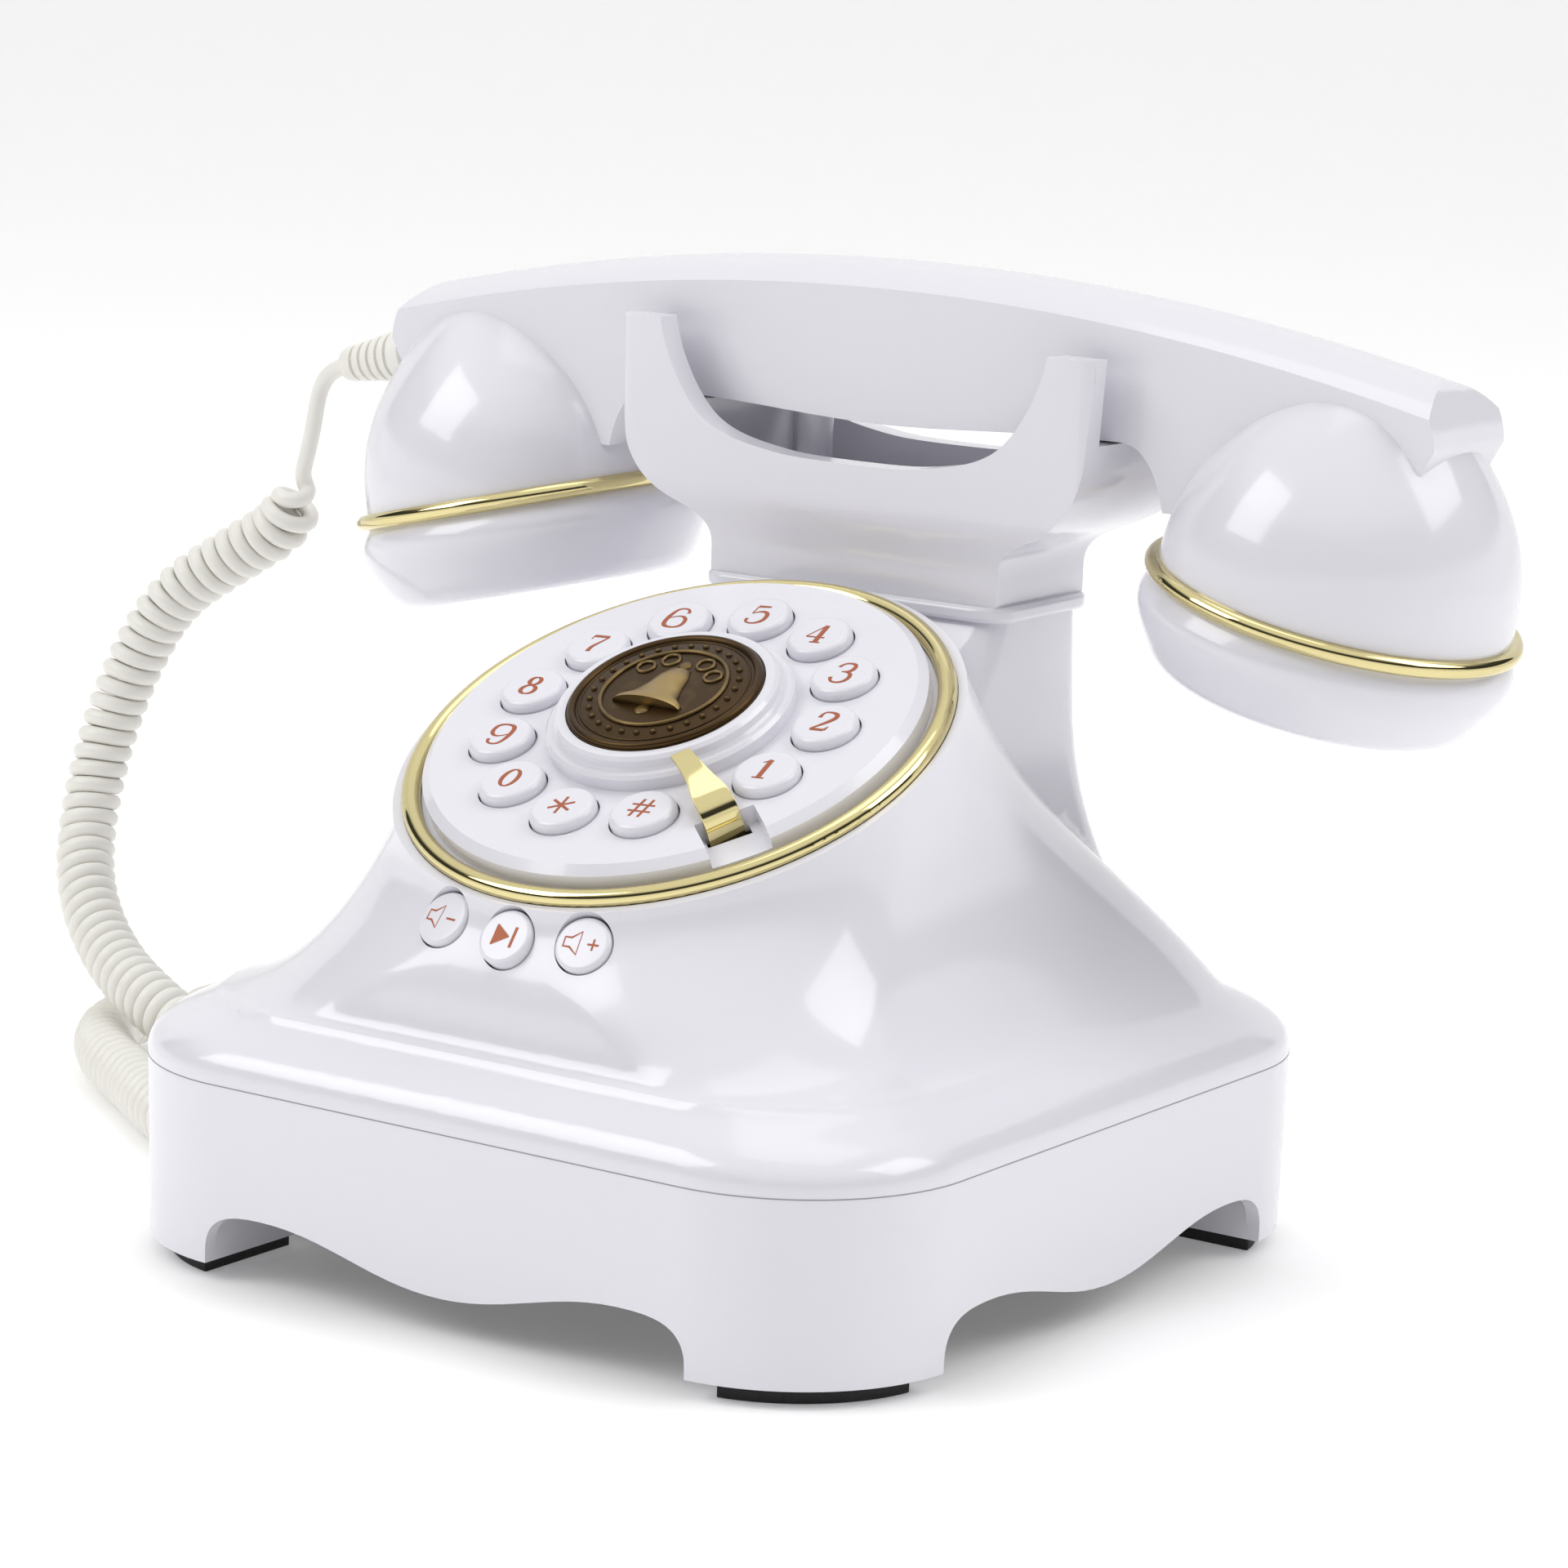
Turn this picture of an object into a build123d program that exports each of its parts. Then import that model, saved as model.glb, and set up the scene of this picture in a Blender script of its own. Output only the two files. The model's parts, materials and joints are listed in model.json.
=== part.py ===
from build123d import *
from math import cos, radians, sin, tan
import os

os.makedirs("parts", exist_ok=True)

# Driving dimensions, millimetres. The telephone stands on z = 0 and faces -Y; X runs to its right.
BASE_HALF = 81.0
BASE_CORNER = 32.5
SEAM_Z = 35.0
FOOT_T = 3.2
WALL = 2.6
DRAFT = 0.65
LEG_LENGTH = 30.6
LEG_EDGE_Z = 5.3
ARCH_PEAK_Z = 12.7
ARCH_PEAK_S = 37.8
APRON_DIP_Z = 6.9
PLATE_Z = 13.0
PLATE_T = 2.4

DIAL_ORIGIN = (0.0, -19.6, 97.5)
DIAL_TILT = 25.74
KEY_CIRCLE = 30.15
KEY_RADIUS = 5.85
KEY_CLEARANCE = 0.3
FIRST_KEY_ANGLE = -23.4
KEY_STEP = 28.93
KEY_NAMES = ["1", "2", "3", "4", "5", "6", "7", "8", "9", "0", "star", "hash"]
DECK = -6.5
DRUM_RADIUS = 50.0
PLATE_RADIUS = 44.5
BEZEL_RADIUS = 47.2
BEZEL_SECTION = 1.7
HUB_RADIUS = 21.9
HUB_STEP_R = 19.8
HUB_TOP = 3.2
HUB_BOSS_R = 7.9
HUB_BORE_R = 3.1
PLATE_TOP = -2.0
KEY_FLANGE = -9.0
BOARD_TOP = -11.6
BOARD_T = 1.6
MEDALLION_RADIUS = 17.4
MEDALLION_SEAT = 1.2
MEDALLION_TOP = 4.3
NOTCH_ANGLE = -41.5
NOTCH_INNER = 34.9
NOTCH_WIDTH = 10.5
NOTCH_FLOOR = -5.3
STOP_TIP = (13.9, -15.9)
STOP_SLOT = (27.0, -24.5)
STOP_BEND = 1.0
STOP_T = 0.9
STOP_WIDTH = 6.5

NECK_TOP = 109.5
NECK_HALF_X = 31.0
NECK_FRONT = 34.0
NECK_REAR = 63.0
COLLAR_T = 2.8

CRADLE_Y = 52.0
CRADLE_HALF_Y = 21.0
CRADLE_WALL = 5.0
HORN_TIP_Z = 157.6
HORN_OUTER = 50.4
HORN_INNER = 41.2
SADDLE_Z = 135.0
SHELF_Z = 142.4

HANDSET_Y = 53.5
CUP_X = 87.2
CUP_Z = 117.8
CUP_TILT = 13.4
DOME_RADIUS = 31.3
DOME_HEIGHT = 39.0
RING_RADIUS = 31.9
RING_SECTION = 1.55
CAP_DEPTH = 17.5
GRIP_HALF_Y = 12.5
UNDERSIDE_Z = 142.9
CROWN_Z = 169.5
CROWN_R = 480.0
CROWN_SAG = 4.1
SHELL_T = 2.5
TUNNEL_X = 96.0
TUNNEL_END_Z = 153.0
PARTING_Z = 148.4

HANDSET_SCREW_X = 46.0
CAP_FLAT = 24.0
CAP_RADIUS = 33.0
BOOT_ROOT = (-114.5, 53.5, 143.0)
BOOT_TIP = (-132.5, 53.5, 139.0)
BOOT_NECK_R = 4.0
BOOT_TIP_GAP = 0.2
WIRE_D = 3.3
COIL_START = (-143.4, 53.5, 118.0)
COIL_END = (-163.0, 47.0, 9.5)
PLUG_END_X = -88.0
COIL_D = 12.0
JACK_Y = 38.0
JACK_Z = 24.5
BUTTON_RADIUS = 5.0
BUTTON_CLEARANCE = 0.3
BUTTON_BACK = -8.5
HOOK_X = -22.0
HOOK_FLANGE_Z = 118.0
PLUNGER_TOP = 141.5
SWITCH_TOP = 106.0
SPRING_LENGTH = 10.8
LINE_JACK_X = 30.0
BOSS_XY = 44.0
BOSS_R = 3.8
SCREW_R = 1.45
DECK_OPENING = 42.0
BEZEL_GROOVE = 1.0


boot_axis = Vector(*BOOT_TIP) - Vector(*BOOT_ROOT)
BOOT_LENGTH = boot_axis.length
boot_plane = Plane(origin=BOOT_ROOT, x_dir=(-boot_axis.Z, 0, boot_axis.X), z_dir=boot_axis)


def save(builder, name):
    builder.part.label = name
    export_step(builder.part, f"parts/{name}.step")


def loft_sections(sections, inset=0.0, mode=Mode.ADD):
    """Lofts rounded rectangles given as (centre y, centre z, tilt, half x, half y, corner)."""
    sketches = []
    for y, z, tilt, half_x, half_y, corner in sections:
        lean = radians(tilt)
        plane = Plane(origin=(0, y, z), x_dir=(1, 0, 0), z_dir=(0, -sin(lean), cos(lean)))
        with BuildSketch(plane) as ring:
            RectangleRounded(2 * (half_x - inset), 2 * (half_y - inset), max(corner - inset, 1.0))
        sketches.append(ring.sketch)
    loft(sections=sketches, mode=mode)


# ---------------------------------------------------------------- base
with BuildPart() as base_skirt:
    with BuildSketch(Plane.XY.offset(FOOT_T)) as skirt_bottom:
        RectangleRounded(2 * (BASE_HALF - DRAFT), 2 * (BASE_HALF - DRAFT), BASE_CORNER - DRAFT)
    with BuildSketch(Plane.XY.offset(SEAM_Z)) as skirt_top:
        RectangleRounded(2 * BASE_HALF, 2 * BASE_HALF, BASE_CORNER)
    loft()
    hollow = 2 * (BASE_HALF - DRAFT - WALL)
    with BuildSketch(Plane.XY.offset(FOOT_T)):
        RectangleRounded(hollow, hollow, BASE_CORNER - DRAFT - WALL)
    extrude(amount=SEAM_Z, mode=Mode.SUBTRACT)
    with BuildSketch(Plane.XY.offset(FOOT_T)):
        RectangleRounded(hollow + 0.2, hollow + 0.2, BASE_CORNER - DRAFT - WALL + 0.1)
        leg_gap = 2 * (BASE_HALF - LEG_LENGTH)
        Rectangle(2 * BASE_HALF, leg_gap, mode=Mode.SUBTRACT)
        Rectangle(leg_gap, 2 * BASE_HALF, mode=Mode.SUBTRACT)
    extrude(amount=PLATE_Z - FOOT_T)
    leg_s = BASE_HALF - LEG_LENGTH
    for side_plane in (Plane.XZ, Plane.YZ):
        with BuildSketch(side_plane):
            with BuildLine():
                Spline((0, APRON_DIP_Z), (ARCH_PEAK_S, ARCH_PEAK_Z), tangents=((1, 0), (1, 0)))
                Spline((ARCH_PEAK_S, ARCH_PEAK_Z), (leg_s, LEG_EDGE_Z), tangents=((1, 0), (0, -1)))
                Polyline((leg_s, LEG_EDGE_Z), (leg_s, 0), (0, 0), (0, APRON_DIP_Z))
            make_face()
            mirror(about=Plane.YZ)
        extrude(amount=BASE_HALF + 5, both=True, mode=Mode.SUBTRACT)
    with Locations((-BASE_HALF, JACK_Y, JACK_Z)):
        Box(12, 8.4, 7.4, mode=Mode.SUBTRACT)
    with Locations((30, BASE_HALF, JACK_Z)):
        Box(13.0, 12, 10.5, mode=Mode.SUBTRACT)
save(base_skirt, "base_skirt")

with BuildPart() as rubber_feet:
    with BuildSketch():
        pad_inset = 4.2
        RectangleRounded(2 * (BASE_HALF - pad_inset), 2 * (BASE_HALF - pad_inset), BASE_CORNER - pad_inset)
        pad_gap = 2 * (BASE_HALF - LEG_LENGTH + 3.5)
        Rectangle(2 * BASE_HALF, pad_gap, mode=Mode.SUBTRACT)
        Rectangle(pad_gap, 2 * BASE_HALF, mode=Mode.SUBTRACT)
    extrude(amount=FOOT_T)
save(rubber_feet, "rubber_feet")

with BuildPart() as base_plate:
    with BuildSketch(Plane.XY.offset(PLATE_Z)):
        RectangleRounded(hollow - 0.6, hollow - 0.6, BASE_CORNER - DRAFT - WALL - 0.3)
    extrude(amount=PLATE_T)
    with BuildSketch(Plane.XY.offset(PLATE_Z)):
        with GridLocations(2 * BOSS_XY, 2 * BOSS_XY, 2, 2):
            Circle(1.8)
        with PolarLocations(12, 8):
            Circle(2.1)
        Circle(2.1)
    extrude(amount=PLATE_T, mode=Mode.SUBTRACT)
save(base_plate, "base_plate")

with BuildPart() as base_screws:
    with GridLocations(2 * BOSS_XY, 2 * BOSS_XY, 2, 2):
        with Locations((0, 0, PLATE_Z - 1.0)):
            Cylinder(3.0, 2.0)
        with Locations((0, 0, PLATE_Z + 6.5)):
            Cylinder(1.45, 13.0)
        with Locations((0, 0, PLATE_Z - 1.6)):
            Box(3.6, 0.7, 0.8, mode=Mode.SUBTRACT)
            Box(0.7, 3.6, 0.8, mode=Mode.SUBTRACT)
save(base_screws, "base_screws")

# ---------------------------------------------------------------- upper housing
lean = radians(DIAL_TILT)
dial_plane = Plane(origin=DIAL_ORIGIN, x_dir=(1, 0, 0), z_dir=(0, -sin(lean), cos(lean)))


def drum_section(depth):
    """The drum's outline, as loft_sections takes it, at a depth below the deck."""
    centre = dial_plane.offset(DECK - depth).origin
    return (centre.Y, centre.Z, DIAL_TILT, DRUM_RADIUS, DRUM_RADIUS, DRUM_RADIUS - 1.5)


SHOULDER = [
    (0.0, SEAM_Z, 0.0, BASE_HALF, BASE_HALF, BASE_CORNER),
    (0.0, 38.6, 0.0, 80.3, 80.3, 32.2),
    (0.0, 42.2, 0.0, 76.6, 76.6, 31.0),
    (0.0, 46.0, 0.0, 70.6, 72.0, 30.0),
]
BELL = [
    SHOULDER[-1],
    (-1.5, 53.0, 4.0, 62.2, 67.6, 31.0),
    (-8.0, 67.0, 10.0, 53.5, 59.8, 38.0),
    (-13.0, 80.0, 18.0, 50.6, 53.2, 45.0),
]
NECK = [
    (10.0, 46.0, 0.0, 57.0, 56.0, 24.0),
    (17.0, 62.0, 0.0, 47.0, 47.0, 19.0),
    (30.0, 78.0, 0.0, 37.0, 34.0, 13.0),
    (42.0, 94.0, 0.0, 32.4, 22.0, 8.0),
    ((NECK_FRONT + NECK_REAR) / 2, NECK_TOP, 0.0, NECK_HALF_X, (NECK_REAR - NECK_FRONT) / 2, 5.0),
]

BUTTONS = {
    "volume_down_button": ((-14.6, -62.3, 65.9), -9.0),
    "skip_button": ((0.0, -64.3, 65.3), 0.0),
    "volume_up_button": ((14.6, -62.3, 65.9), 9.0),
}
BUTTON_LEAN = 53.0


def button_plane(name):
    """The plane of a button's face at rest, square to the sloping front of the housing."""
    place, splay = BUTTONS[name]
    out = sin(radians(BUTTON_LEAN))
    turn = radians(splay)
    return Plane(
        origin=place,
        x_dir=(cos(turn), sin(turn), 0),
        z_dir=(out * sin(turn), -out * cos(turn), cos(radians(BUTTON_LEAN))),
    )


with BuildPart() as cavity:
    skirt_hollow = (0.0, SEAM_Z - 1.0, 0.0, BASE_HALF, BASE_HALF, BASE_CORNER)
    loft_sections([skirt_hollow] + SHOULDER[1:], inset=WALL)
    loft_sections(BELL + [drum_section(WALL)], inset=WALL)
    loft_sections(NECK, inset=WALL)
    with GridLocations(2 * BOSS_XY, 2 * BOSS_XY, 2, 2):
        with Locations((0, 0, SEAM_Z - 2)):
            Cylinder(BOSS_R, 60, align=(Align.CENTER, Align.CENTER, Align.MIN), mode=Mode.SUBTRACT)

with BuildPart() as upper_housing:
    loft_sections(SHOULDER)
    loft_sections(BELL + [drum_section(0.0)])
    loft_sections(NECK)
    add(cavity.part, mode=Mode.SUBTRACT)
    with GridLocations(2 * BOSS_XY, 2 * BOSS_XY, 2, 2):
        with Locations((0, 0, PLATE_Z + PLATE_T)):
            Cylinder(BOSS_R, SEAM_Z + 2 - PLATE_Z, align=(Align.CENTER, Align.CENTER, Align.MIN))
            Cylinder(SCREW_R, 11, align=(Align.CENTER, Align.CENTER, Align.MIN), mode=Mode.SUBTRACT)
    with BuildSketch(dial_plane.offset(DECK - 6)):
        Circle(DECK_OPENING)
    extrude(amount=6.5, mode=Mode.SUBTRACT)
    with BuildSketch(dial_plane.offset(DECK)):
        Circle(BEZEL_RADIUS + BEZEL_SECTION + 0.05)
        Circle(BEZEL_RADIUS - BEZEL_SECTION - 0.05, mode=Mode.SUBTRACT)
    extrude(amount=-BEZEL_GROOVE, mode=Mode.SUBTRACT)
    for button in BUTTONS:
        with BuildSketch(button_plane(button).offset(-9)):
            Circle(BUTTON_RADIUS + BUTTON_CLEARANCE)
        extrude(amount=20, mode=Mode.SUBTRACT)
save(upper_housing, "upper_housing")

# ---------------------------------------------------------------- neck collar and cradle
NECK_Y = (NECK_FRONT + NECK_REAR) / 2
NECK_HALF_Y = (NECK_REAR - NECK_FRONT) / 2
COLUMN_Z = NECK_TOP + COLLAR_T

with BuildPart() as neck_collar:
    with BuildSketch(Plane.XY.offset(NECK_TOP)):
        with Locations((0, NECK_Y)):
            RectangleRounded(2 * NECK_HALF_X + 3.6, 2 * NECK_HALF_Y + 3.6, 6.0)
            RectangleRounded(2 * NECK_HALF_X - 8, 2 * NECK_HALF_Y - 8, 3.0, mode=Mode.SUBTRACT)
    extrude(amount=COLLAR_T)
    chamfer(neck_collar.edges().group_by(Axis.Z)[-1], length=0.6)
    chamfer(neck_collar.edges().group_by(Axis.Z)[0], length=0.6)
    with BuildSketch(dial_plane.offset(DECK)):
        Circle(DRUM_RADIUS + 1)
    extrude(amount=-25, mode=Mode.SUBTRACT)
save(neck_collar, "neck_collar")


def front_outline():
    """The cradle seen from the front: column, flared lobes and horns."""
    with BuildSketch(Plane.XZ) as outline:
        with BuildLine():
            Line((0, COLUMN_Z), (NECK_HALF_X - 0.2, COLUMN_Z))
            Line((NECK_HALF_X - 0.2, COLUMN_Z), (NECK_HALF_X - 0.2, 117.0))
            Spline(
                (NECK_HALF_X - 0.2, 117.0),
                (39.5, 125.4),
                (46.4, 131.0),
                (49.2, 139.0),
                tangents=((0, 1), (0.12, 1)),
            )
            Line((49.2, 139.0), (HORN_OUTER, HORN_TIP_Z))
            Line((HORN_OUTER, HORN_TIP_Z), (HORN_INNER, HORN_TIP_Z))
            Spline(
                (HORN_INNER, HORN_TIP_Z),
                (37.2, 147.0),
                (30.5, 139.6),
                (19.0, 136.1),
                (0, SADDLE_Z),
                tangents=((-0.15, -1), (-1, 0)),
            )
            Line((0, SADDLE_Z), (0, COLUMN_Z))
        make_face()
        mirror(about=Plane.YZ)
    return outline.sketch


def side_outline():
    """The cradle seen from the side: straight column with a lobe that flares forward and back."""
    front = CRADLE_Y - CRADLE_HALF_Y
    rear = CRADLE_Y + CRADLE_HALF_Y
    with BuildSketch(Plane.YZ) as outline:
        with BuildLine():
            Line((NECK_FRONT + 0.2, COLUMN_Z), (NECK_REAR - 0.2, COLUMN_Z))
            Line((NECK_REAR - 0.2, COLUMN_Z), (NECK_REAR - 0.2, 118.0))
            Spline((NECK_REAR - 0.2, 118.0), (66.6, 125.6), (rear, 136.0), tangents=((0, 1), (0.1, 1)))
            Polyline((rear, 136.0), (rear, HORN_TIP_Z), (front, HORN_TIP_Z), (front, 129.0))
            Spline((front, 129.0), (NECK_FRONT + 0.2, 117.0), tangents=((0, -1), (0, -1)))
            Line((NECK_FRONT + 0.2, 117.0), (NECK_FRONT + 0.2, COLUMN_Z))
        make_face()
    return outline.sketch


with BuildPart() as cradle:
    extrude(front_outline(), amount=-120)
    extrude(side_outline(), amount=80, both=True, mode=Mode.INTERSECT)
    with BuildSketch(Plane.XY.offset(COLUMN_Z)):
        with Locations((0, CRADLE_Y)):
            RectangleRounded(2 * HORN_OUTER + 0.4, 2 * CRADLE_HALF_Y + 0.2, 3.4)
    extrude(amount=60, mode=Mode.INTERSECT)
    # trough for the grip between the front and rear walls
    with Locations((0, CRADLE_Y, SHELF_Z + 20)):
        Box(130, 2 * (CRADLE_HALF_Y - CRADLE_WALL), 40, mode=Mode.SUBTRACT)
    with Locations((0, CRADLE_Y, 129.5 + 20)):
        Box(74, 2 * (CRADLE_HALF_Y - CRADLE_WALL), 40, mode=Mode.SUBTRACT)
    # hollow column
    with BuildSketch(Plane.XY.offset(COLUMN_Z)):
        with Locations((0, NECK_Y)):
            RectangleRounded(2 * NECK_HALF_X - 8, 2 * NECK_HALF_Y - 8, 3.0)
    extrude(amount=14.0, mode=Mode.SUBTRACT)
    # bores that guide the hook plunger
    with Locations((HOOK_X, HANDSET_Y, 125)):
        Cylinder(3.35, 40, mode=Mode.SUBTRACT)
save(cradle, "cradle")

with BuildPart() as hook_plunger:
    with Locations((HOOK_X, HANDSET_Y, HOOK_FLANGE_Z)):
        Cylinder(3.3, PLUNGER_TOP - HOOK_FLANGE_Z, align=(Align.CENTER, Align.CENTER, Align.MIN))
    fillet(hook_plunger.edges().group_by(Axis.Z)[-1], radius=1.2)
    with Locations((HOOK_X, HANDSET_Y, HOOK_FLANGE_Z)):
        Cylinder(4.3, 1.6, align=(Align.CENTER, Align.CENTER, Align.MIN))
save(hook_plunger, "hook_plunger")

with BuildPart() as hook_spring:
    with BuildLine() as spring_line:
        Helix(pitch=2.1, height=SPRING_LENGTH, radius=2.4, center=(HOOK_X, HANDSET_Y, SWITCH_TOP + 0.5))
    with BuildSketch(Plane(spring_line.line @ 0, z_dir=spring_line.line % 0)):
        Circle(0.35)
    sweep()
save(hook_spring, "hook_spring")

with BuildPart() as hook_switch:
    with Locations((HOOK_X + 5.0, HANDSET_Y, SWITCH_TOP - 6.0)):
        Box(20, 8, 12)
        Box(20.2, 3, 3, mode=Mode.SUBTRACT)
save(hook_switch, "hook_switch")

# ---------------------------------------------------------------- dial
dial_axis = Axis(dial_plane.origin, dial_plane.z_dir)


def dial_point(angle, radius):
    """A point of the dial's plane, by its angle in degrees from +X and its distance from the centre."""
    return (radius * cos(radians(angle)), radius * sin(radians(angle)))


key_places = {
    name: dial_point(FIRST_KEY_ANGLE + i * KEY_STEP, KEY_CIRCLE)
    for i, name in enumerate(KEY_NAMES)
}

with BuildPart() as dial_bezel:
    with Locations(dial_plane.offset(DECK + 0.5)):
        Torus(BEZEL_RADIUS, BEZEL_SECTION)
    with BuildSketch(dial_plane.offset(DECK - BEZEL_GROOVE)):
        Circle(BEZEL_RADIUS + 5)
    extrude(amount=-3, mode=Mode.SUBTRACT)
save(dial_bezel, "dial_bezel")

with BuildPart() as dial_plate:
    with BuildSketch(dial_plane.offset(DECK)):
        Circle(PLATE_RADIUS)
    extrude(amount=PLATE_TOP - DECK)
    chamfer(dial_plate.edges().sort_by(dial_axis)[-1], length=1.4, length2=1.6)
    with BuildSketch(dial_plane.offset(DECK)):
        Circle(DECK_OPENING - 0.4)
        Circle(DECK_OPENING - 2.4, mode=Mode.SUBTRACT)
    extrude(amount=BOARD_TOP - DECK)
    with BuildSketch(dial_plane.offset(DECK)):
        for place in key_places.values():
            with Locations(place):
                Circle(KEY_RADIUS + KEY_CLEARANCE)
        Circle(HUB_BOSS_R + 0.1)
    extrude(amount=10, mode=Mode.SUBTRACT)
    # open recess towards the rim, and the slot in its floor that takes the finger stop
    with BuildSketch(dial_plane.offset(NOTCH_FLOOR)):
        with PolarLocations(0, 1, start_angle=NOTCH_ANGLE):
            with Locations((NOTCH_INNER + 10, 0)):
                Rectangle(20, NOTCH_WIDTH)
    extrude(amount=10, mode=Mode.SUBTRACT)
    with BuildSketch(dial_plane.offset(DECK)):
        with PolarLocations(0, 1, start_angle=NOTCH_ANGLE):
            with Locations((NOTCH_INNER + 1.5, -0.4)):
                Rectangle(2.9, 7.8)
    extrude(amount=10, mode=Mode.SUBTRACT)
save(dial_plate, "dial_plate")

with BuildPart() as hub_ring:
    with BuildSketch(Plane(origin=DIAL_ORIGIN, x_dir=(1, 0, 0), z_dir=-dial_plane.y_dir)):
        with BuildLine():
            Polyline(
                (HUB_BORE_R, BOARD_TOP),
                (HUB_BOSS_R, BOARD_TOP),
                (HUB_BOSS_R, PLATE_TOP),
                (HUB_RADIUS, PLATE_TOP),
                (HUB_RADIUS, 0.2),
                (HUB_RADIUS - 0.6, 0.8),
                (HUB_STEP_R + 0.5, 0.8),
                (HUB_STEP_R, 1.3),
                (HUB_STEP_R, 2.6),
                (HUB_STEP_R - 0.6, HUB_TOP),
                (MEDALLION_RADIUS + 0.2, HUB_TOP),
                (MEDALLION_RADIUS + 0.2, MEDALLION_SEAT),
                (HUB_BORE_R, MEDALLION_SEAT),
                close=True,
            )
        make_face()
    revolve(axis=dial_axis)
save(hub_ring, "hub_ring")

with BuildPart() as medallion:
    with BuildSketch(Plane(origin=DIAL_ORIGIN, x_dir=(1, 0, 0), z_dir=-dial_plane.y_dir)):
        with BuildLine():
            Line((0, MEDALLION_SEAT), (MEDALLION_RADIUS, MEDALLION_SEAT))
            Line((MEDALLION_RADIUS, MEDALLION_SEAT), (MEDALLION_RADIUS, HUB_TOP))
            Spline((MEDALLION_RADIUS, HUB_TOP), (0, MEDALLION_TOP), tangents=((-1, 0.3), (-1, 0)))
            Line((0, MEDALLION_TOP), (0, MEDALLION_SEAT))
        make_face()
    revolve(axis=dial_axis)
save(medallion, "medallion")

with BuildPart() as hub_screw:
    with BuildSketch(dial_plane.offset(BOARD_TOP - BOARD_T)):
        Circle(5.0)
    extrude(amount=-2.0)
    with BuildSketch(dial_plane.offset(BOARD_TOP - BOARD_T)):
        Circle(HUB_BORE_R - 0.1)
    extrude(amount=12.0)
    with BuildSketch(dial_plane.offset(BOARD_TOP - BOARD_T - 2.0)):
        Rectangle(6.0, 1.0)
        Rectangle(1.0, 6.0)
    extrude(amount=1.0, mode=Mode.SUBTRACT)
save(hub_screw, "hub_screw")

stop_along = Vector(*STOP_SLOT) - Vector(*STOP_TIP)
stop_run = stop_along.length
stop_x = (dial_plane.x_dir * stop_along.X + dial_plane.y_dir * stop_along.Y) * (1 / stop_run)
stop_origin = dial_plane.from_local_coords(Vector(STOP_TIP[0], STOP_TIP[1], 0))

with BuildPart() as finger_stop:
    with BuildSketch(Plane(origin=stop_origin, x_dir=stop_x, z_dir=stop_x.cross(dial_plane.z_dir))):
        with BuildLine():
            Polyline(
                (0, HUB_TOP + 0.3),
                (stop_run * 0.78, STOP_BEND),
                (stop_run - STOP_T / 2, -3.4),
                (stop_run - STOP_T / 2, BOARD_TOP + 1.6),
                (stop_run + STOP_T / 2, BOARD_TOP + 1.6),
                (stop_run + STOP_T / 2, -3.0),
                (stop_run * 0.78 + 0.4, STOP_BEND + STOP_T),
                (0, HUB_TOP + 0.3 + STOP_T),
                close=True,
            )
        make_face()
    extrude(amount=5, both=True)
    with BuildSketch(Plane(origin=stop_origin, x_dir=stop_x, z_dir=dial_plane.z_dir)):
        with BuildLine():
            ThreePointArc((2.0, 2.0), (0, 0), (2.0, -2.0))
            Polyline((2.0, -2.0), (stop_run * 0.6, -STOP_WIDTH / 2), (stop_run + 3, -STOP_WIDTH / 2))
            Line((stop_run + 3, -STOP_WIDTH / 2), (stop_run + 3, STOP_WIDTH / 2))
            Polyline((stop_run + 3, STOP_WIDTH / 2), (stop_run * 0.6, STOP_WIDTH / 2), (2.0, 2.0))
        make_face()
    extrude(amount=20, both=True, mode=Mode.INTERSECT)
save(finger_stop, "finger_stop")

for key, place in key_places.items():
    with BuildPart() as dial_key:
        with BuildSketch(dial_plane.offset(KEY_FLANGE)):
            with Locations(place):
                Circle(KEY_RADIUS)
        extrude(amount=-KEY_FLANGE)
        fillet(dial_key.edges().sort_by(dial_axis)[-1], radius=1.2)
        with BuildSketch(dial_plane.offset(KEY_FLANGE)):
            with Locations(place):
                Circle(KEY_RADIUS + 0.75)
        extrude(amount=1.4)
    save(dial_key, f"key_{key}")

with BuildPart() as keypad_membrane:
    with BuildSketch(dial_plane.offset(BOARD_TOP)):
        Circle(DECK_OPENING - 2.7)
        Circle(HUB_BOSS_R + 0.5, mode=Mode.SUBTRACT)
    extrude(amount=1.0)
save(keypad_membrane, "keypad_membrane")

with BuildPart() as keypad_board:
    with BuildSketch(dial_plane.offset(BOARD_TOP)):
        Circle(DECK_OPENING - 0.4)
        Circle(HUB_BORE_R + 0.2, mode=Mode.SUBTRACT)
    extrude(amount=-BOARD_T)
save(keypad_board, "keypad_board")

# ---------------------------------------------------------------- function buttons
for button in BUTTONS:
    plane = button_plane(button)
    with BuildPart() as function_button:
        with BuildSketch(plane.offset(BUTTON_BACK)):
            Circle(BUTTON_RADIUS)
        extrude(amount=-BUTTON_BACK)
        fillet(function_button.edges().sort_by(Axis(plane.origin, plane.z_dir))[-1], radius=0.8)
        with BuildSketch(plane.offset(BUTTON_BACK)):
            Circle(BUTTON_RADIUS + 0.9)
        extrude(amount=1.2)
    save(function_button, button)

with BuildPart() as button_board:
    with BuildSketch(button_plane("skip_button").offset(BUTTON_BACK - 3.5)):
        RectangleRounded(44, 15, 2)
    extrude(amount=-BOARD_T)
save(button_board, "button_board")

# ---------------------------------------------------------------- electronics in the base
MAIN_BOARD_Z = 17.75
board_y = 49.0

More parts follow.
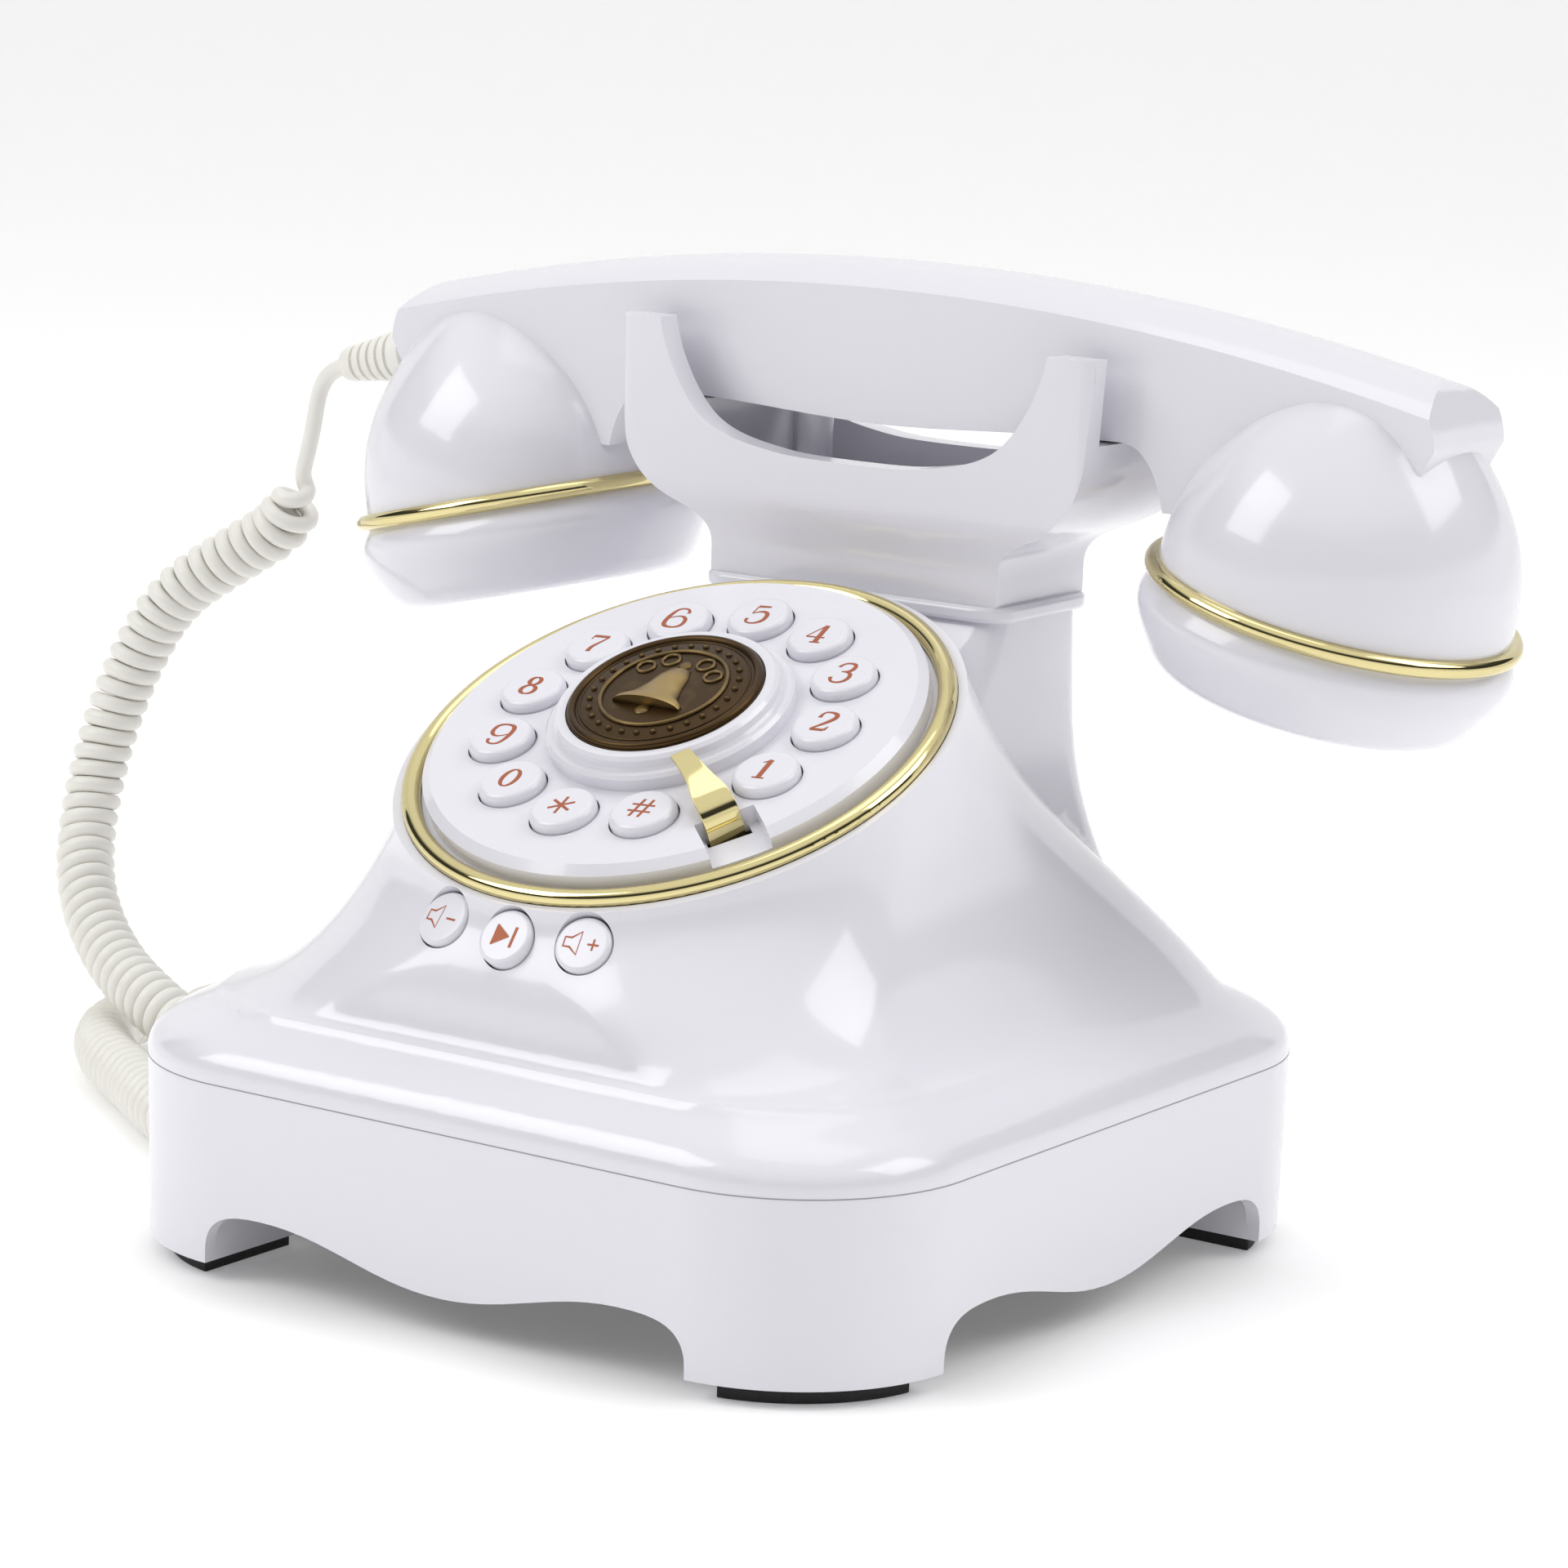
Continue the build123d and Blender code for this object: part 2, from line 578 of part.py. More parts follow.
with BuildPart() as main_board:
    with BuildSketch(Plane.XY.offset(MAIN_BOARD_Z)):
        with Locations((0, board_y)):
            RectangleRounded(76, 42, 1.5)
            with GridLocations(66, 32, 2, 2):
                Circle(1.2, mode=Mode.SUBTRACT)
    extrude(amount=BOARD_T)
save(main_board, "main_board")

with BuildPart() as board_standoffs:
    with BuildSketch(Plane.XY.offset(PLATE_Z + PLATE_T)):
        with Locations((0, board_y)):
            with GridLocations(66, 32, 2, 2):
                Circle(3.0)
    extrude(amount=MAIN_BOARD_Z - PLATE_Z - PLATE_T)
    with BuildSketch(Plane.XY.offset(MAIN_BOARD_Z)):
        with Locations((0, board_y)):
            with GridLocations(66, 32, 2, 2):
                Circle(1.1)
    extrude(amount=BOARD_T)
save(board_standoffs, "board_standoffs")

with BuildPart() as ringer_speaker:
    with BuildSketch(Plane.XZ):
        with BuildLine():
            Polyline(
                (14.5, PLATE_Z + PLATE_T),
                (20.0, PLATE_Z + PLATE_T),
                (20.0, 17.2),
                (12.0, 21.0),
                (12.0, 24.4),
                (0, 24.4),
                (0, 19.6),
                (6.0, 19.6),
                close=True,
            )
        make_face()
    revolve(axis=Axis.Z)
save(ringer_speaker, "ringer_speaker")

with BuildPart() as ballast_weight:
    with Locations((0, -44, PLATE_Z + PLATE_T)):
        Box(60, 30, 6, align=(Align.CENTER, Align.CENTER, Align.MIN))
    chamfer(ballast_weight.edges().filter_by(Axis.Z), length=3)
save(ballast_weight, "ballast_weight")

JACK_FACE = BASE_HALF - 0.6
line_jack_z = MAIN_BOARD_Z + BOARD_T
with BuildPart() as line_jack:
    with Locations((LINE_JACK_X, JACK_FACE, line_jack_z)):
        Box(12.6, 16, 10.2, align=(Align.CENTER, Align.MAX, Align.MIN))
    with Locations((LINE_JACK_X, JACK_FACE, line_jack_z + 1.6)):
        Box(9.8, 12, 7.0, align=(Align.CENTER, Align.MAX, Align.MIN), mode=Mode.SUBTRACT)
save(line_jack, "line_jack")

with BuildPart() as handset_jack:
    with Locations((-BASE_HALF + WALL + 1.0, JACK_Y, JACK_Z)):
        Box(13, 11.6, 10.2, align=(Align.MIN, Align.CENTER, Align.CENTER))
        Box(10, 8.0, 7.6, align=(Align.MIN, Align.CENTER, Align.CENTER), mode=Mode.SUBTRACT)
save(handset_jack, "handset_jack")

# ---------------------------------------------------------------- handset
def cup_plane(side):
    """The plane of a cup's bead ring; side is -1 for the mouthpiece and +1 for the earpiece."""
    tilt = radians(CUP_TILT)
    return Plane(
        origin=(side * CUP_X, HANDSET_Y, CUP_Z),
        x_dir=(cos(tilt), 0, -side * sin(tilt)),
        z_dir=(side * sin(tilt), 0, cos(tilt)),
    )


def dome_profile(side, wall):
    """Half of a cup's domed top: a quarter ellipse over the bead ring."""
    plane = cup_plane(side)
    with BuildSketch(Plane(origin=plane.origin, x_dir=plane.x_dir, z_dir=(0, -1, 0))) as profile:
        with BuildLine():
            radius = DOME_RADIUS - wall
            height = DOME_HEIGHT - wall
            foot = RING_SECTION
            rim = radius * (1 - (foot / height) ** 2) ** 0.5
            Line((0, foot), (rim, foot))
            Spline(
                (rim, foot),
                (radius * sin(radians(60)), height * cos(radians(60))),
                (radius * sin(radians(30)), height * cos(radians(30))),
                (0, height),
                tangents=((-0.02, 1), (-1, 0)),
            )
            Line((0, height), (0, foot))
        make_face()
    return profile.sketch


def grip_outline():
    """The grip from the front: gussets that curve into the cups, and rounded ends over the domes."""
    with BuildSketch(Plane.XZ) as outline:
        with BuildLine():
            Spline((0, 141.2), (35, 142.7), (50, UNDERSIDE_Z), tangents=((1, 0), (1, 0)))
            Spline((50, UNDERSIDE_Z), (56.4, 139.6), (59.6, 131.5), tangents=((1, 0), (0.2, -1)))
            Polyline((59.6, 131.5), (76, 131.5), (106, 137), (111.5, 147.0))
            Spline((111.5, 147.0), (110.0, 153.0), (104.0, 159.0), tangents=((0, 1), (-1, 0.35)))
            Polyline((104.0, 159.0), (104.0, 175), (0, 175), (0, 141.2))
        make_face()
        mirror(about=Plane.YZ)
    return outline.sketch


def grip_section(half_y, crown, sag, floor):
    """The grip's cross-section at the middle of its length, with a domed crown."""
    with BuildSketch(Plane.YZ) as section:
        with BuildLine():
            left = HANDSET_Y - half_y
            right = HANDSET_Y + half_y
            ThreePointArc((left, crown - sag), (HANDSET_Y, crown), (right, crown - sag))
            Polyline((right, crown - sag), (right, floor), (left, floor), (left, crown - sag))
        make_face()
    return section.sketch


crown_axis = Axis((0, HANDSET_Y, CROWN_Z - CROWN_R), (0, 1, 0))

with BuildPart() as handset_body:
    revolve(grip_section(GRIP_HALF_Y, CROWN_Z, CROWN_SAG, 110), axis=crown_axis, revolution_arc=15)
    revolve(grip_section(GRIP_HALF_Y, CROWN_Z, CROWN_SAG, 110), axis=-crown_axis, revolution_arc=15)
    extrude(grip_outline(), amount=-120, mode=Mode.INTERSECT)
    for side in (-1, 1):
        revolve(dome_profile(side, 0.0), axis=Axis(cup_plane(side).origin, cup_plane(side).z_dir))

with BuildPart() as handset_shells:
    add(handset_body.part)
    for side in (-1, 1):
        inner_axis = Axis(cup_plane(side).origin, cup_plane(side).z_dir)
        revolve(dome_profile(side, SHELL_T), axis=inner_axis, mode=Mode.SUBTRACT)
    # the grip's tunnel, joined to both domes
    with BuildSketch(Plane.XZ.offset(-HANDSET_Y)):
        with BuildLine():
            ThreePointArc(
                (-TUNNEL_X, TUNNEL_END_Z),
                (0, CROWN_Z - CROWN_SAG - SHELL_T),
                (TUNNEL_X, TUNNEL_END_Z),
            )
            Line((TUNNEL_X, TUNNEL_END_Z), (TUNNEL_X, UNDERSIDE_Z + SHELL_T))
            Line((TUNNEL_X, UNDERSIDE_Z + SHELL_T), (-TUNNEL_X, UNDERSIDE_Z + SHELL_T))
            Line((-TUNNEL_X, UNDERSIDE_Z + SHELL_T), (-TUNNEL_X, TUNNEL_END_Z))
        make_face()
    extrude(amount=GRIP_HALF_Y - SHELL_T, both=True, mode=Mode.SUBTRACT)
    for side in (-1, 1):
        with Locations((side * HANDSET_SCREW_X, HANDSET_Y, UNDERSIDE_Z + 1)):
            Cylinder(BOSS_R, 21, align=(Align.CENTER, Align.CENTER, Align.MIN))
        with Locations((side * HANDSET_SCREW_X, HANDSET_Y, UNDERSIDE_Z - 1)):
            Cylinder(SCREW_R, 13, align=(Align.CENTER, Align.CENTER, Align.MIN), mode=Mode.SUBTRACT)
            Cylinder(3.1, 2.6, align=(Align.CENTER, Align.CENTER, Align.MIN), mode=Mode.SUBTRACT)
    with BuildSketch(boot_plane.offset(-9)):
        Circle(BOOT_NECK_R + 0.05)
    extrude(amount=16, mode=Mode.SUBTRACT)
    with BuildSketch(boot_plane.offset(2.1)):
        Circle(5.05)
    extrude(amount=9, mode=Mode.SUBTRACT)


def parting_region():
    """What lies below the line where the two shells of the handset meet, seen from the front."""
    with BuildSketch(Plane.XZ) as region:
        with BuildLine():
            Polyline((0, PARTING_Z), (50, PARTING_Z), (56.5, 147.6))
            Spline(
                (56.5, 147.6),
                (60.7, 145.2),
                (63.9, 140.6),
                (65.3, 135.0),
                (65.9, 129.5),
                tangents=((1, -0.2), (0, -1)),
            )
            Polyline((65.9, 129.5), (65.9, 100), (0, 100), (0, PARTING_Z))
        make_face()
        mirror(about=Plane.YZ)
    return region.sketch


with BuildPart() as handset_lower_shell:
    add(handset_shells.part)
    extrude(parting_region(), amount=-120, mode=Mode.INTERSECT)
save(handset_lower_shell, "handset_lower_shell")

with BuildPart() as handset_upper_shell:
    add(handset_shells.part)
    extrude(parting_region(), amount=-120, mode=Mode.SUBTRACT)
save(handset_upper_shell, "handset_upper_shell")

with BuildPart() as handset_screws:
    for side in (-1, 1):
        with Locations((side * HANDSET_SCREW_X, HANDSET_Y, UNDERSIDE_Z + 0.2)):
            Cylinder(3.0, 1.4, align=(Align.CENTER, Align.CENTER, Align.MIN))
            Cylinder(SCREW_R, 11, align=(Align.CENTER, Align.CENTER, Align.MIN))
            Box(3.6, 0.7, 0.6, align=(Align.CENTER, Align.CENTER, Align.MIN), mode=Mode.SUBTRACT)
save(handset_screws, "handset_screws")

CAPS = {"mouthpiece": -1, "earpiece": 1}
for cup, side in CAPS.items():
    plane = cup_plane(side)
    cup_axis = Axis(plane.origin, plane.z_dir)
    with BuildPart() as bead_ring:
        with Locations(plane):
            Torus(RING_RADIUS, RING_SECTION)
        with BuildSketch(plane.offset(-RING_SECTION)):
            Circle(RING_RADIUS - 0.3)
            Circle(RING_RADIUS - 3.2, mode=Mode.SUBTRACT)
        extrude(amount=2 * RING_SECTION)
    save(bead_ring, f"{cup}_ring")

    with BuildPart() as cap:
        with BuildSketch(Plane(origin=plane.origin, x_dir=plane.x_dir, z_dir=(0, -1, 0))):
            with BuildLine():
                Line((0, -RING_SECTION), (0, -CAP_DEPTH))
                Line((0, -CAP_DEPTH), (CAP_FLAT, -CAP_DEPTH))
                Spline(
                    (CAP_FLAT, -CAP_DEPTH),
                    (30.4, -12.6),
                    (CAP_RADIUS, -4.6),
                    (DOME_RADIUS, -RING_SECTION),
                    tangents=((1, 0.08), (-0.7, 1)),
                )
                Line((DOME_RADIUS, -RING_SECTION), (0, -RING_SECTION))
            make_face()
        revolve(axis=cup_axis)
        with BuildSketch(plane.offset(-RING_SECTION)):
            Circle(28.6)
        extrude(amount=-6.5, mode=Mode.SUBTRACT)
        with BuildSketch(plane.offset(-RING_SECTION - 6.5)):
            Circle(24.6)
        extrude(amount=-(CAP_DEPTH - RING_SECTION - 6.5 - SHELL_T), mode=Mode.SUBTRACT)
        with BuildSketch(plane.offset(-CAP_DEPTH)):
            Circle(1.2)
            with PolarLocations(5.0, 6):
                Circle(1.2)
            if cup == "earpiece":
                with PolarLocations(10.0, 12):
                    Circle(1.2)
        extrude(amount=SHELL_T, mode=Mode.SUBTRACT)
    save(cap, f"{cup}_cap")

with BuildPart() as receiver_capsule:
    with BuildSketch(cup_plane(1).offset(-CAP_DEPTH + SHELL_T)):
        Circle(18.0)
    extrude(amount=5.5)
    with BuildSketch(cup_plane(1).offset(-CAP_DEPTH + SHELL_T + 5.5)):
        Circle(11.0)
    extrude(amount=4.0)
save(receiver_capsule, "receiver_capsule")

with BuildPart() as microphone_capsule:
    with BuildSketch(cup_plane(-1).offset(-CAP_DEPTH + SHELL_T)):
        Circle(6.6)
    extrude(amount=6.7)
save(microphone_capsule, "microphone_capsule")

with BuildPart() as handset_weight:
    with BuildSketch(cup_plane(-1).offset(3.5)):
        Circle(15.0)
    extrude(amount=9.0)
save(handset_weight, "handset_weight")

# ---------------------------------------------------------------- handset cord
with BuildPart() as strain_relief:
    with BuildSketch(Plane(origin=boot_plane.origin, x_dir=boot_plane.x_dir, z_dir=(0, 1, 0))):
        with BuildLine():
            Polyline((0, -6.0), (BOOT_NECK_R, -6.0), (BOOT_NECK_R, 2.2), (5.0, 2.2), (5.0, 5.0))
            for rib in range(5):
                at = 5.0 + rib * 2.4
                thick = 5.0 - rib * 0.3
                Polyline((thick, at), (thick - 0.9, at), (thick - 0.9, at + 1.0), (thick - 0.3, at + 1.0))
                Line((thick - 0.3, at + 1.0), (thick - 0.3, at + 2.4))
            Polyline((3.5, 17.0), (3.2, BOOT_LENGTH - BOOT_TIP_GAP), (0, BOOT_LENGTH - BOOT_TIP_GAP), (0, -6.0))
        make_face()
    revolve(axis=Axis(boot_plane.origin, boot_plane.z_dir))
save(strain_relief, "strain_relief")


def cord_radii(points):
    """The arc radius at each corner of a route: 0.45 of the shorter run over tan(half the turn)."""
    radii = []
    for before, here, after in zip(points, points[1:], points[2:]):
        run_in = Vector(*here) - Vector(*before)
        run_out = Vector(*after) - Vector(*here)
        half_turn = radians(run_in.get_angle(run_out)) / 2
        radii.append(0.45 * min(run_in.length, run_out.length) / tan(half_turn))
    return radii


def make_cord(name, points, diameter):
    """A plain round tube along straight runs joined by tangent arcs."""
    radii = cord_radii(points)
    with BuildPart() as tube:
        with BuildLine() as path:
            FilletPolyline(*points, radius=radii)
        with BuildSketch(Plane(path.line @ 0, z_dir=path.line % 0)) as section:
            Circle(diameter / 2)
        sweep()
    save(tube, name)
    length = path.wires()[0].length
    expected = section.sketch.area * length
    print(name, "radii", [round(r, 1) for r in radii], "length", round(length, 1))
    print(name, "volume over section x length", round(tube.part.volume / expected, 4))


boot_end = tuple(boot_plane.offset(BOOT_LENGTH).origin)
HANDSET_LEAD = [boot_end, (-137.0, 53.5, 137.6), (-140.0, 53.5, 133.2), (-141.2, 53.5, 125.7), COIL_START]
COIL = [
    COIL_START,
    (-146.6, 53.5, 106.8),
    (-157.5, 51.0, 99.8),
    (-171.0, 47.0, 90.5),
    (-178.5, 44.0, 77.0),
    (-182.9, 40.0, 61.0),
    (-182.8, 34.0, 43.0),
    (-175.4, 26.0, 30.8),
    (-160.5, 18.0, 21.2),
    (-140.5, 10.0, 16.0),
    (-122.0, 7.0, 10.0),
    (-106.0, 2.5, 6.6),
    (-95.0, -3.5, 6.6),
    (-90.0, -13.0, 6.6),
    (-93.5, -22.5, 6.6),
    (-103.5, -24.5, 6.6),
    (-116.0, -18.0, 6.6),
    (-133.0, -6.0, 6.6),
    (-150.0, 4.5, 6.6),
    (-164.5, 19.0, 6.6),
    (-169.5, 35.0, 6.8),
    COIL_END,
]
JACK_LEAD = [
    COIL_END,
    (-157.8, 56.6, 11.66),
    (-142.0, 60.5, 16.5),
    (-123.5, 55.5, 21.5),
    (-110.0, 45.5, 24.3),
    (-99.0, JACK_Y, JACK_Z),
    (PLUG_END_X, JACK_Y, JACK_Z),
]
make_cord("handset_lead", HANDSET_LEAD, WIRE_D)
make_cord("curly_cord", COIL, COIL_D)
make_cord("jack_lead", JACK_LEAD, WIRE_D)

with BuildPart() as handset_plug:
    with Locations((PLUG_END_X, JACK_Y, JACK_Z)):
        Box(17, 7.6, 6.6, align=(Align.MIN, Align.CENTER, Align.CENTER))
    chamfer(handset_plug.edges().group_by(Axis.X)[0], length=0.8)
    with Locations((PLUG_END_X + 5, JACK_Y, JACK_Z + 3.3)):
        Box(9, 3.2, 0.8, align=(Align.MIN, Align.CENTER, Align.CENTER))
save(handset_plug, "handset_plug")
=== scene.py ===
"""Dresses a retro desk telephone: glossy ivory shells, gold bead rings, copper digits and a curly cord."""

import json
import math

import bmesh
import bpy
from mathutils import Matrix, Vector

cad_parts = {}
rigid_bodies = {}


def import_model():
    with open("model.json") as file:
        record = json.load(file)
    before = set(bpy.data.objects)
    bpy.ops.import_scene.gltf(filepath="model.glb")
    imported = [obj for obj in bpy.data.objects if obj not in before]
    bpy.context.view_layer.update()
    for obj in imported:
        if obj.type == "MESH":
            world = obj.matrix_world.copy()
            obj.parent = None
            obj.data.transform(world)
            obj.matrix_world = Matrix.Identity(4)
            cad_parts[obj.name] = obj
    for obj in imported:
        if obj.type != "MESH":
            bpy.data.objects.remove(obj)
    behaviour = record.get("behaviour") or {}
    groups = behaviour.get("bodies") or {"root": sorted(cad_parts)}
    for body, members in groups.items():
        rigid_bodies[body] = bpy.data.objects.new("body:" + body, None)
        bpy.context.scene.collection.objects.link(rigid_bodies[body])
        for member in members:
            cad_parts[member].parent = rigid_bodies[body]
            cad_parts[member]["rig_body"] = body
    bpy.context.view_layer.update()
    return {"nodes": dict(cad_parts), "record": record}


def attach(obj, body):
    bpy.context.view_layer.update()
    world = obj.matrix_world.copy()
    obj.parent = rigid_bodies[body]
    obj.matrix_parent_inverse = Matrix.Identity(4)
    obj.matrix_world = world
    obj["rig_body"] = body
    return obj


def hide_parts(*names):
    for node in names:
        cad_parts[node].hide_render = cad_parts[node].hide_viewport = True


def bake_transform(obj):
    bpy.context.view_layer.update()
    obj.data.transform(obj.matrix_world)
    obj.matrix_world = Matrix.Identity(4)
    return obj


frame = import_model()

bl_info = {
    "name": "Retro desk telephone",
    "version": (1, 0, 0),
    "blender": (4, 5, 0),
    "location": "3D View > Sidebar > Telephone",
    "description": "Finishes, digits, relief, cord and stage of a push-button telephone in a rotary style",
    "category": "Object",
}

MM = 0.001
KEYS = ["1", "2", "3", "4", "5", "6", "7", "8", "9", "0", "star", "hash"]
THICK = 0.5
THIN = 0.2
SERIF_1 = [(-1.15, -2.55, THIN), (1.15, -2.55, THIN)]
DIGIT_STROKES = {
    "1": [[(0, 2.6, THICK), (0, -2.6, THICK)], SERIF_1, [(-1.2, 1.8, 0.14), (-0.6, 2.0, 0.16), (0, 2.6, 0.3)]],
    "2": [
        [(-1.3, 1.2, 0.4), (-1.4, 2.7, 0.2), (0.4, 3.0, 0.25), (1.8, 2.3, 0.45), (1.5, 0.6, THICK), (-1.5, -2.2, THIN)],
        [(-1.4, -2.25, 0.36), (1.2, -2.25, 0.36)],
        [(1.2, -2.25, 0.36), (1.6, -1.2, 0.14)],
    ],
    "3": [
        [(-1.3, 1.6, 0.38), (-1.1, 2.8, 0.2), (1.4, 3.0, 0.3), (1.7, 1.2, THICK), (0.7, 0.35, 0.25), (-0.3, 0.35, 0.14)],
        [(-0.3, 0.35, 0.14), (1.4, 0.5, 0.3), (2.1, -1.3, 0.46), (1.1, -2.9, 0.3), (-1.2, -2.9, 0.2), (-1.5, -1.5, 0.38)],
    ],
    "4": [
        [(0.6, 2.6, THICK), (0.6, -2.5, THICK)],
        [(-0.4, -2.55, THIN), (1.6, -2.55, THIN)],
        [(0.4, 2.6, 0.15), (-1.8, -0.9, 0.15)],
        [(-1.8, -1.0, THIN), (1.8, -1.0, THIN)],
    ],
    "5": [
        [(-1.0, 2.35, 0.36), (1.4, 2.45, 0.24)],
        [(-1.05, 2.35, 0.16), (-1.2, 0.1, 0.14)],
        [(-1.2, 0.1, 0.14), (0.2, 1.1, 0.25), (1.9, 0.5, 0.4), (2.0, -1.8, 0.46), (0.4, -3.0, 0.22), (-1.6, -2.6, 0.2), (-1.4, -1.5, 0.38)],
    ],
    "6": [
        [(1.3, 1.6, 0.38), (1.3, 2.8, 0.2), (-1.1, 3.0, 0.25), (-2.0, 0.4, 0.46), (-1.9, -2.6, 0.44), (0.2, -3.1, 0.2)]
        + [(1.9, -2.4, 0.38), (1.9, -0.1, 0.42), (0.1, 0.9, 0.16), (-1.5, -0.2, 0.16)],
    ],
    "7": [
        [(-1.5, 2.25, 0.36), (1.6, 2.25, 0.36)],
        [(-1.5, 2.3, 0.16), (-1.65, 1.3, 0.14)],
        [(1.6, 2.2, 0.2), (0.4, 0.2, 0.26), (-0.5, -1.2, 0.42), (-0.4, -2.5, 0.46)],
    ],
    "star": [],
    "hash": [
        [(-1.1, -2.5, 0.28), (-0.6, 2.5, 0.28)],
        [(0.6, -2.5, 0.28), (1.1, 2.5, 0.28)],
        [(-2.2, 0.9, 0.24), (2.2, 0.9, 0.24)],
        [(-2.2, -0.9, 0.24), (2.2, -0.9, 0.24)],
    ],
}
DIGIT_LOOPS = {"8": [(1.42, 1.05, 1.15), (-1.25, 1.4, 1.3)], "0": [(0.0, 1.45, 2.45)]}
BUTTONS = {
    "volume_down_button": ((-14.6, -62.3, 65.9), -9.0),
    "skip_button": ((0.0, -64.3, 65.3), 0.0),
    "volume_up_button": ((14.6, -62.3, 65.9), 9.0),
}
BUTTON_LEAN = 53.0
DIAL_TILT = 25.74
DIAL_CENTRE = (0.0, -19.6, 97.5)
MEDALLION_TOP = 4.3
KEY_START = -23.4
KEY_STEP = 28.93
KEY_RADIUS = 30.15
SEAM_Z = 35.0


# ---------------------------------------------------------------- sizes and colours
class TelephoneFinishes(bpy.types.PropertyGroup):
    """Colours of the telephone's finishes, as sRGB hex."""

    shell: bpy.props.StringProperty(name="Shell", description="Moulded ABS shells", default="#E4E3EA")
    gold: bpy.props.StringProperty(name="Gold", description="Gold plating", default="#DDD09A")
    bronze: bpy.props.StringProperty(name="Bronze", description="Worn high spots of the medallion", default="#A8905F")
    patina: bpy.props.StringProperty(name="Patina", description="Dark hollows of the medallion", default="#4A3924")
    print_ink: bpy.props.StringProperty(name="Ink", description="Copper digits and icons", default="#A9562F")
    cord: bpy.props.StringProperty(name="Cord", description="Ivory cord jacket", default="#EDEBE4")


class TelephoneSizes(bpy.types.PropertyGroup):
    """Sizes that a user would change, in millimetres."""

    digit_scale: bpy.props.FloatProperty(name="Digit size", description="Size of the digits, 1 is 5.4 mm", default=1.0)
    shell_edge: bpy.props.FloatProperty(name="Shell edge", description="Rounding of moulded edges", default=0.7)
    wire: bpy.props.FloatProperty(name="Wire", description="Diameter of the cord's wire", default=3.3)
    coil: bpy.props.FloatProperty(name="Coil", description="Outside diameter of the curly part", default=12.0)
    pitch: bpy.props.FloatProperty(name="Pitch", description="Advance of the coil per turn", default=3.5)


# ---------------------------------------------------------------- helpers
def linear(hex_text):
    """An sRGB hex colour in the linear values that shaders take."""
    channels = []
    for start in (1, 3, 5):
        value = int(hex_text[start:start + 2], 16) / 255
        channels.append(value / 12.92 if value <= 0.04045 else ((value + 0.055) / 1.055) ** 2.4)
    return (*channels, 1.0)


def add_node(tree, kind, inputs=None, **settings):
    """Adds a node, with its settings, and its inputs as values or as links from other sockets."""
    node = tree.nodes.new(kind)
    for name, value in settings.items():
        setattr(node, name, value)
    for name, value in (inputs or {}).items():
        if isinstance(value, bpy.types.NodeSocket):
            tree.links.new(value, node.inputs[name])
        else:
            node.inputs[name].default_value = value
    return node


def surface(name, colour, **sockets):
    """A material with one principled shader, whose constant values sit on the shader's own sockets."""
    material = bpy.data.materials.new(name)
    material.use_nodes = True
    shader = material.node_tree.nodes["Principled BSDF"]
    shader.inputs["Base Color"].default_value = linear(colour)
    for socket, value in sockets.items():
        shader.inputs[socket.replace("_", " ")].default_value = value
    return material, material.node_tree, shader


def grain(tree, shader, size_mm, depth_mm, low, high):
    """Fine unevenness of a surface: a shallow bump, and a roughness that wanders between two values."""
    coordinates = add_node(tree, "ShaderNodeTexCoord")
    noise = add_node(tree, "ShaderNodeTexNoise", {"Vector": coordinates.outputs["Object"], "Scale": 1 / (size_mm * MM)})
    bump = add_node(tree, "ShaderNodeBump", {"Height": noise.outputs["Fac"], "Distance": depth_mm * MM, "Strength": 0.3})
    tree.links.new(bump.outputs["Normal"], shader.inputs["Normal"])
    spread = add_node(tree, "ShaderNodeMapRange", {"Value": noise.outputs["Fac"], "To Min": low, "To Max": high})
    tree.links.new(spread.outputs["Result"], shader.inputs["Roughness"])


